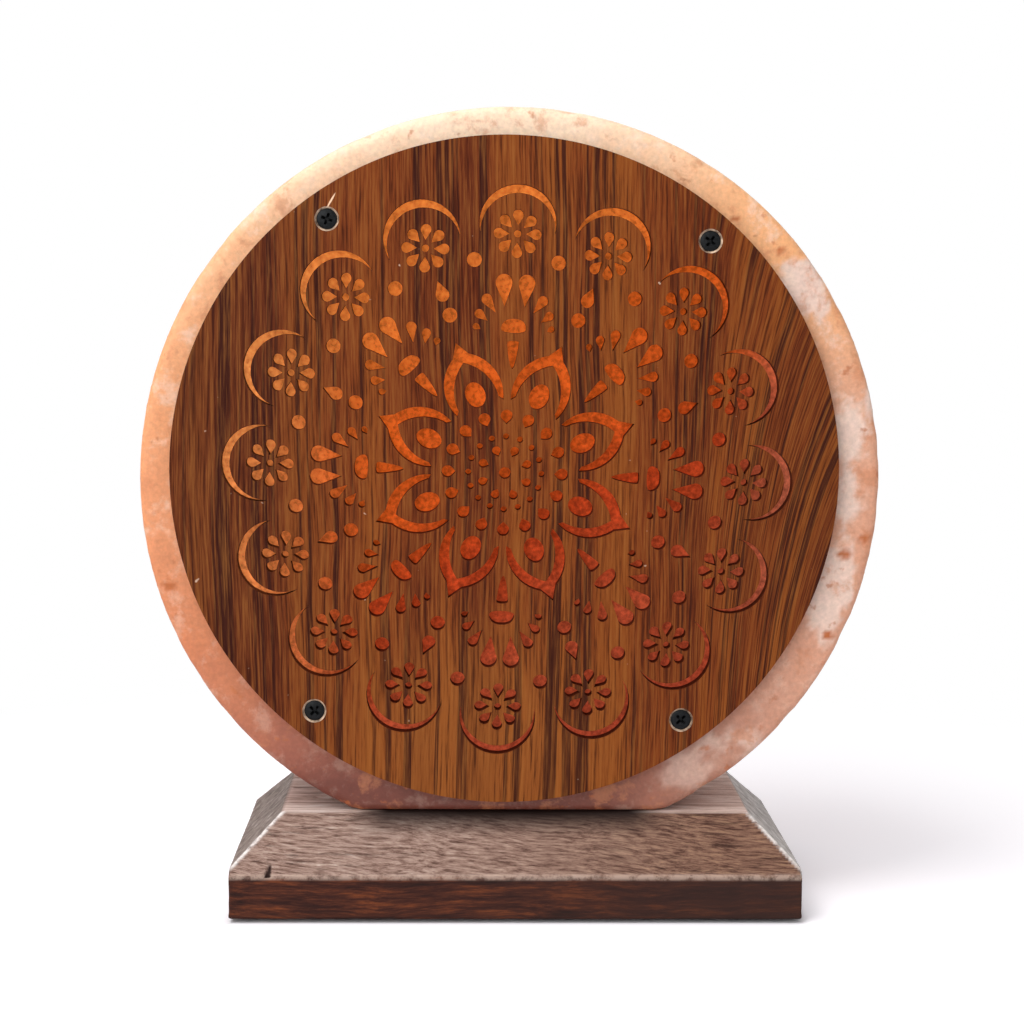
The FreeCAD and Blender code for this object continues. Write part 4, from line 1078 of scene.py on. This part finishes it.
def screw(head, shank, length, pitch, step=0.25):
    """Wood screw that stands on its head: a head profile, a cross recess and a cut thread."""
    neck = head[-1][1] + pitch
    threaded_length = length - 2 * shank - neck
    steps = int(threaded_length / step)
    heights = [neck + threaded_length * k / steps for k in range(steps + 1)]

    def thread(radius, height, angle):
        if height < neck or radius < shank:
            return radius
        crest = max(0.0, math.cos(2 * math.pi * height / pitch - angle)) ** 3
        return shank * (0.70 + 0.30 * crest)

    profile = [(0, 0)] + head + [(shank, neck - 0.01)] + [(shank, z) for z in heights]
    body = lathed(profile + [(0.35 * shank, length - 0.6 * shank), (0, length)], 20, thread)
    face, recess = head[0][0], []
    for reach, half, z in ((0.6572 * face, 0.15 * face, -0.1),
                           (0.24 * face, 0.09 * face, 0.55 * face)):
        cross, quarter = [], [(reach, -half), (reach, half), (half, half)]
        for _ in range(4):
            cross += [(x, y, z) for x, y in quarter]
            quarter = [(-y, x) for x, y in quarter]
        recess.append(cross)
    return carved(body, lofted(recess))


def at_screws(y, spins=(0.0,) * 4):
    """A spot for each panel screw, at a depth in millimetres and turned by degrees."""
    return [((x / MM, y, z / MM), (0, math.radians(spin), 0))
            for (x, z), spin in zip(screw_places(), spins)]


# Phosphated steel: an iron phosphate crust over metal, so it is near black, metallic and dull,
# with a dusty grey bloom a few tenths of a millimetre across.
black_steel = mottled("black_phosphated_steel", ("060607", "1B1D1F"), 0.5 * MM, (0.30, 0.50),
                      0.03 * MM, {"Metallic": 0.75, "Specular IOR Level": 0.5})
LAID = Matrix.Rotation(math.radians(-90), 4, "X")
panel_screw = screw([(2.55, 0), (2.78, 0.14), (2.78, 0.26), (1.45, 1.35)], 1.43, 20.0, 1.5)
panel_screws = repeated("panel_screws_black", moved(panel_screw, LAID),
                        at_screws(SCREW_FACE, SCREW_SPINS), black_steel)
fitted(panel_screws, "root", "panel_screws")

# Bare sheesham where the countersink cut through the oiled face: pale, dry and rough, IOR 1.5.
bare_wood = mottled("bare_sheesham", ("2E170C", "DDBEA2"), 2.4 * MM, (0.6, 0.8), 0.05 * MM,
                    {"IOR": 1.5, "Specular IOR Level": 0.2})
mouth = lathed([(3.22, 0), (3.262, 0), (3.262, 4.0), (1.47, 4.0), (1.47, 1.78), (3.0, 0.42)], 40)
mouths = repeated("countersink_mouths", moved(mouth, LAID), at_screws(PANEL_FACE / MM), bare_wood)
fitted(mouths, "root", "fret_panel")


# ------------------------------------------------------------------ plugs and base screws
# Ribbed nylon plugs pushed into holes in the salt, and two zinc-plated screws from below that
# pull the drum down on the base.

BARB_PITCH = 1.6
BASE_SCREWS = ((-32, 12), (32, 70))    # x, and degrees of turn
BASE_SCREW_SEAT = 8.2                  # height of the heads' faces


def wall_plug(radius, bore, length):
    """Plug that stands on its open mouth, with a collar and rings of barbs."""
    root = 0.88 * radius
    barbs = [(r, 1.2 + BARB_PITCH * k + dz) for k in range(int((length - 5) / BARB_PITCH))
             for r, dz in ((root, 0.0), (radius, 1.1), (root, 1.2))]
    return lathed([(bore + 0.3, 0), (radius, 0), (radius, 1.0), (root, 1.05)] + barbs
                  + [(root, length - 2.5), (0.5 * radius, length), (0, length),
                     (0, length - radius), (bore, length - radius - 1), (bore, 0.4)], 24)


# Nylon 6, IOR 1.53: natural off-white, slightly clear, with a faint moulded sheen.
nylon = mottled("natural_nylon", ("DAD6C8", "E8E5DA"), 3 * MM, (0.38, 0.50), 0.02 * MM,
                {"IOR": 1.53, "Subsurface Weight": 0.2, "Subsurface Radius": (0.001,) * 3})
panel_plugs = repeated("panel_plugs_ribbed", moved(wall_plug(2.5, 1.47, 20.0), LAID),
                       at_screws(PANEL_BACK / MM), nylon)
fitted(panel_plugs, "root", "panel_plugs")
base_plugs = repeated("base_plugs_ribbed", wall_plug(3.0, 2.02, 28.0),
                      [((x, 0, DRUM_FOOT / MM), (0, 0, 0)) for x, _ in BASE_SCREWS], nylon)
fitted(base_plugs, "root", "base_plugs")

# Zinc plate over steel, bright with a passivated blue-grey cast and fine tumbling marks.
zinc = mottled("zinc_plated_steel", ("AEB3B6", "D2D2CB"), 0.8 * MM, (0.28, 0.46), 0.02 * MM,
               {"Metallic": 1.0})
pan_head = [(1.9, 0.0), (3.0, 0.25), (3.7, 0.9), (4.0, 1.8), (4.0, 2.8), (1.98, 2.8)]
base_screws = repeated("base_screws_pan_head", screw(pan_head, 1.98, 42.8, 1.8),
                       [((x, 0, BASE_SCREW_SEAT), (0, 0, math.radians(spin)))
                        for x, spin in BASE_SCREWS], zinc)
fitted(base_screws, "root", "base_screws")


# ------------------------------------------------------------------ felt feet
# Four squares of pressed felt, glued under the base's corners.

FOOT_PLACES = [(BASE_MIDDLE + x, y) for x in (-64.5, 64.5) for y in (-26.5, 26.5)]


def rounded_square(side, corner, z):
    half = side / 2 - corner
    ring = []
    for k, (x, y) in enumerate(((half, half), (-half, half), (-half, -half), (half, -half))):
        for step in range(5):
            angle = math.pi / 2 * (k + step / 4)
            ring.append((x + corner * math.cos(angle), y + corner * math.sin(angle), z))
    return ring


# Pressed wool felt: charcoal, all lint, with no shine, its hairs a quarter millimetre apart.
felt = mottled("pressed_wool_felt", ("26221F", "4A443E"), 0.25 * MM, (0.92, 1.0), 0.25 * MM,
               {"Sheen Weight": 0.5, "Specular IOR Level": 0.1})
foot = lofted([rounded_square(14.5, 1.4, 0.0), rounded_square(15.0, 1.6, 0.25),
               rounded_square(15.0, 1.6, 0.75), rounded_square(14.8, 1.5, 1.0)])
feet = repeated("felt_feet", foot, [((x, y, 0), (0, 0, 0)) for x, y in FOOT_PLACES], felt)
fitted(feet, "root", "foot_pads")


# ------------------------------------------------------------------ bulb holder
# A push-in holder of moulded plastic: a ribbed cap with a nylon cord bush below, a sleeve with
# the socket above, and two spring clips that grip the bore. It pulls out of the base.

HOLDER_RADIUS = 13.0
CAP_RIBS = 36
PIVOT = (15.14, 44.0)          # x and z of the clips' pins
EAR_RADIUS = 2.5
THREAD_PITCH = 2.82
THREAD_DEPTH = 0.395           # half of it, from the middle radius

# Thermoset moulding, IOR 1.5: off-white, with an even satin skin and faint flow marks.
moulded = mottled("white_moulded_plastic", ("DEDCD5", "E9E7E1"), 6 * MM, (0.36, 0.46),
                  0.03 * MM, {"IOR": 1.5, "Subsurface Weight": 0.05})


def ribbed(radius, z, angle):
    """Sinks the cap's wall between its ribs."""
    on_grip = radius == HOLDER_RADIUS and 16 < z < 24
    return radius - 0.4 * on_grip * (0.5 + 0.5 * math.cos(CAP_RIBS * angle))


cap_wall = [(HOLDER_RADIUS, z) for z in (14.8, 15.6, 16.2, 23.8, 24.4, 25.8)]
holder_cap = lathed(
    [(5.02, 13.2), (5.2, 13.0), (11.5, 13.0), (12.3, 13.2), (12.8, 13.8)] + cap_wall
    + [(12.8, 26.0), (10.8, 26.0), (10.8, 17.4), (10.4, 17.0), (5.02, 17.0)], 144, ribbed)
fitted(made_of("holder_cap_ribbed", holder_cap, moulded), "holder", "holder_cap")

ear = [(PIVOT[0] - 0.9 + EAR_RADIUS * math.cos(math.radians(a)),
        PIVOT[1] + EAR_RADIUS * math.sin(math.radians(a))) for a in range(-90, 91, 15)]
ear = [(11.9, PIVOT[1] - EAR_RADIUS)] + ear + [(11.9, PIVOT[1] + EAR_RADIUS)]
pin_hole = moved(lathed([(0, -6), (0.82, -6), (0.82, 6), (0, 6)], 20),
                 Matrix.Translation((PIVOT[0], 0, PIVOT[1])) @ LAID)
ears = []
for y in (3.3, -5.1):
    plate = lofted([[(x, y + 1.8, z) for x, z in ear], [(x, y, z) for x, z in ear]])
    plate = carved(plate, pin_hole)
    ears += [plate, moved(plate, Matrix.Rotation(math.pi, 4, "Z"))]
sleeve = lathed([(0, 32.5), (10.8, 32.5), (10.8, 26.0), (12.85, 26.0), (12.85, 27.0), (13.0, 27.2),
                 (13.0, 38.0), (12.7, 38.3), (12.7, 39.3), (13.0, 39.6), (13.0, 53.5),
                 (12.4, 54.2), (12.4, 56.4), (12.0, 57.0), (8.2, 57.0), (7.5, 56.3), (7.5, 37.5),
                 (0, 37.5)], 96)
fitted(made_of("holder_sleeve", together(sleeve, *ears), moulded), "holder", "holder_shell")

# Black nylon, IOR 1.53, a little glossier where the mould was polished.
black_nylon = mottled("black_nylon", ("121213", "1E1E20"), 2 * MM, (0.32, 0.45), 0.02 * MM,
                      {"IOR": 1.53})
gland = lathed(
    [(3.2, 13.9), (3.35, 13.4), (3.8, 13.05), (4.3, 13.0), (4.8, 13.1), (5.0, 13.4), (5.0, 17.02),
     (6.2, 17.02), (6.2, 18.3), (5.9, 18.62), (4.0, 18.62), (3.5, 18.5), (3.2, 18.1)], 48)
fitted(made_of("cord_bush", gland, black_nylon), "holder", "cord_gland")


def threaded(low, high, middle, wall=0.3, steps=14):
    """Tube rolled from sheet with a round thread, its middle radius between crest and root."""
    count = int((high - low) / THREAD_PITCH * steps)
    heights = [low + (high - low) * k / count for k in range(count + 1)]
    profile = [(middle, z) for z in heights] + [(middle - wall, z) for z in reversed(heights)]

    def wave(radius, z, angle):
        ends = above(z, low, low + 1) * (1 - above(z, high - 1, high))
        turn = math.cos(2 * math.pi * z / THREAD_PITCH - angle)
        return radius + THREAD_DEPTH * (1 - ends + ends * turn)

    return lathed(profile, 72, wave)


# Rolled brass, metallic, drawn and lightly tarnished: warm yellow with browner patches.
brass = mottled("rolled_brass", ("B08A45", "D9B66E"), 2.5 * MM, (0.24, 0.42), 0.02 * MM,
                {"Metallic": 1.0})
fitted(made_of("socket_thread", threaded(40.5, 56.65, 7.0), brass), "holder", "thread_shell")


def strip(path, thickness, width):
    """Flat strip bent along a path of (x, z) corners, its width along Y."""
    rings = []
    for k, (x, z) in enumerate(path):
        (x0, z0), (x1, z1) = path[max(k - 1, 0)], path[min(k + 1, len(path) - 1)]
        span = math.hypot(x1 - x0, z1 - z0)
        out_x, out_z = -(z1 - z0) / span * thickness / 2, (x1 - x0) / span * thickness / 2
        half = width / 2
        rings.append([(x - out_x, -half, z - out_z), (x - out_x, half, z - out_z),
                      (x + out_x, half, z + out_z), (x + out_x, -half, z + out_z)])
    return lofted(rings)


def bend(x, z, radius, first, last, steps=8):
    """Arc about (x, z) from one angle to another, in degrees."""
    turns = [math.radians(first + (last - first) * k / steps) for k in range(steps + 1)]
    return [(x + radius * math.cos(a), z + radius * math.sin(a)) for a in turns]


contact = strip([(3.85, 37.8), (0.0, 37.8)] + bend(-3.3, 38.1, 0.3, 270, 90)
                + [(0.0, 38.42), (2.35, 38.42)], 0.5, 4.6)
fitted(made_of("socket_contact", contact, brass), "holder", "centre_contact")

# Blued spring steel, metallic, with the straw and grey tints of its tempering.
spring = mottled("tempered_spring_steel", ("6F7277", "9B9890"), 1.6 * MM, (0.28, 0.44),
                 0.015 * MM, {"Metallic": 1.0})
pin = lathed([(0, 0), (0.6, 0), (0.8, 0.15), (0.8, 10.05), (0.6, 10.2), (0, 10.2)], 20)
pins = repeated("clip_pins_steel", moved(pin, LAID),
                [((side * PIVOT[0], -5.1, PIVOT[1]), (0, 0, 0)) for side in (-1, 1)], spring)
fitted(pins, "holder", "clip_pins")
leaf = strip(bend(*PIVOT, 1.22, 285, 15, 20) + [(16.36, 43.6), (16.50, 40.0), (16.72, 34.0),
             (17.02, 27.0), (17.28, 21.2)] + bend(16.55, 20.35, 0.72, 8, -60, 5)
             + [(16.1, 19.2)], 0.55, 6.0)
for turn, name in ((math.pi, "clip_left"), (0.0, "clip_right")):
    facing = moved(leaf, Matrix.Rotation(turn, 4, "Z"))
    fitted(made_of(name + "_leaf", facing, spring), name, name)


# ------------------------------------------------------------------ bulb
# A small frosted tubular bulb: glass blown over a stem with a coiled filament, cemented in a
# threaded brass cap that ends in black glass and a solder button.

BULB_RADIUS, BULB_WALL, DOME_Z = 12.5, 0.6, 75.95


def dome(radius):
    """The profile of the bulb's round end, from its side to its top."""
    turns = [math.pi / 16 * k for k in range(8)]
    return [(radius * math.cos(a), DOME_Z + radius * math.sin(a)) for a in turns] \
        + [(0, DOME_Z + radius)]


cap_foot = lathed([(3.9, 42.95), (5.6, 42.95), (6.5, 43.4), (6.88, 44.0), (6.58, 44.0),
                   (6.3, 43.6), (5.5, 43.25), (3.9, 43.25)], 48)
fitted(made_of("bulb_cap_threaded", together(threaded(44.0, 56.95, 6.5), cap_foot), brass),
       "bulb", "bulb_cap")

# Soda-lime glass, IOR 1.51, etched white inside, so it scatters what passes through it.
frosted_glass = mottled("frosted_glass", ("F2F0EA", "FAF8F4"), 1.0 * MM, (0.45, 0.60),
                        0.02 * MM, {"IOR": 1.51, "Transmission Weight": 0.75})
glass = [(0, 49.3), (4.8, 49.3), (5.6, 50.0), (5.6, 56.8), (6.1, 58.0), (8.6, 61.0), (11.0, 63.8),
         (12.2, 66.5), (12.5, 69.5)] + dome(BULB_RADIUS) + dome(BULB_RADIUS - BULB_WALL)[::-1]
glass += [(11.9, 69.5), (11.6, 66.7), (10.5, 64.2), (8.2, 61.5), (5.6, 58.4), (5.0, 57.0),
          (5.0, 50.5), (4.4, 49.9), (0, 49.9)]
fitted(made_of("bulb_glass_frosted", lathed(glass, 64), frosted_glass), "bulb", "bulb_glass")

# Clear lead glass, IOR 1.56, drawn by hand in a flame, with slight waves.
clear_glass = mottled("clear_lead_glass", ("F4F6F4", "FFFFFF"), 4 * MM, (0.02, 0.06), 0.05 * MM,
                      {"IOR": 1.56, "Transmission Weight": 1.0})
stem = lathed([(0, 50.1), (3.8, 50.1), (3.6, 51.2), (2.4, 53.2), (1.5, 55.5), (1.3, 59.0),
               (1.3, 64.0), (1.45, 65.2), (1.1, 65.9), (0, 65.95)], 32)
fitted(made_of("bulb_stem_drawn", stem, clear_glass), "bulb", "bulb_stem")


def wire(path, radius, sides=6):
    """Round wire along a path of places."""
    rings = []
    for k, here in enumerate(path):
        ahead = (path[min(k + 1, len(path) - 1)] - path[max(k - 1, 0)]).normalized()
        first = ahead.cross(Vector((0.3, 1.0, 0.1))).normalized()
        second = ahead.cross(first)
        rings.append([tuple(here + radius * (math.cos(a) * first + math.sin(a) * second))
                      for a in (2 * math.pi * s / sides for s in range(sides))])
    return lofted(rings)


# Nickel-plated steel leads and a tungsten coil, metallic, grey and drawn smooth.
nickel = mottled("nickel_and_tungsten_wire", ("83827F", "A8A6A1"), 0.4 * MM, (0.3, 0.45),
                 0.005 * MM, {"Metallic": 1.0})
hooks = [wire([Vector((side * x, 0, z)) for x, z in
               ((1.7, 62.0), (1.8, 64.5), (2.6, 66.5), (4.4, 68.8), (5.5, 70.2), (5.8, 70.4))],
              0.24, 8) for side in (-1, 1)]
fitted(made_of("bulb_lead_wires", together(*hooks), nickel), "bulb", "bulb_leads")
COIL_HALF, COIL_RADIUS, COIL_Z = 5.9, 0.42, 70.95
COIL_TURNS, COIL_STEPS = 36, 10
coil = []
for k in range(COIL_TURNS * COIL_STEPS + 1):
    turn = 2 * math.pi * k / COIL_STEPS
    coil.append(Vector((COIL_HALF * (2 * k / (COIL_TURNS * COIL_STEPS) - 1),
                        COIL_RADIUS * math.cos(turn), COIL_Z + COIL_RADIUS * math.sin(turn))))
fitted(made_of("bulb_filament_coil", wire(coil, 0.06, 5), nickel), "bulb", "bulb_filament")

# Vitrite, a black lead glass of IOR 1.6, cast into the cap's foot and glossy.
vitrite = mottled("black_vitrite", ("0D0B10", "1B181F"), 2 * MM, (0.08, 0.20), 0.03 * MM,
                  {"IOR": 1.6})
insulator = lathed([(0, 40.0), (2.5, 40.0), (3.5, 40.1), (3.9, 40.6), (4.6, 41.5), (5.6, 42.3),
                    (6.4, 42.8), (6.3, 42.9), (0, 42.9)], 48)
fitted(made_of("bulb_insulator_cone", insulator, vitrite), "bulb_rise", "bulb_insulator")

# Tin solder, metallic and grey, set in a slightly lumpy drop.
solder = mottled("tin_solder", ("8F9194", "B9BBBC"), 0.8 * MM, (0.30, 0.50), 0.05 * MM,
                 {"Metallic": 1.0})
button = lathed([(0, 38.76), (0.7, 38.78), (1.4, 38.95), (2.0, 39.3), (2.35, 39.7), (2.4, 39.98),
                 (0, 39.98)], 32,
                lambda radius, z, angle: radius * (0.97 + 0.03 * math.cos(3 * angle + 1)))
fitted(made_of("bulb_contact_button", button, solder), "bulb_rise", "bulb_contact")
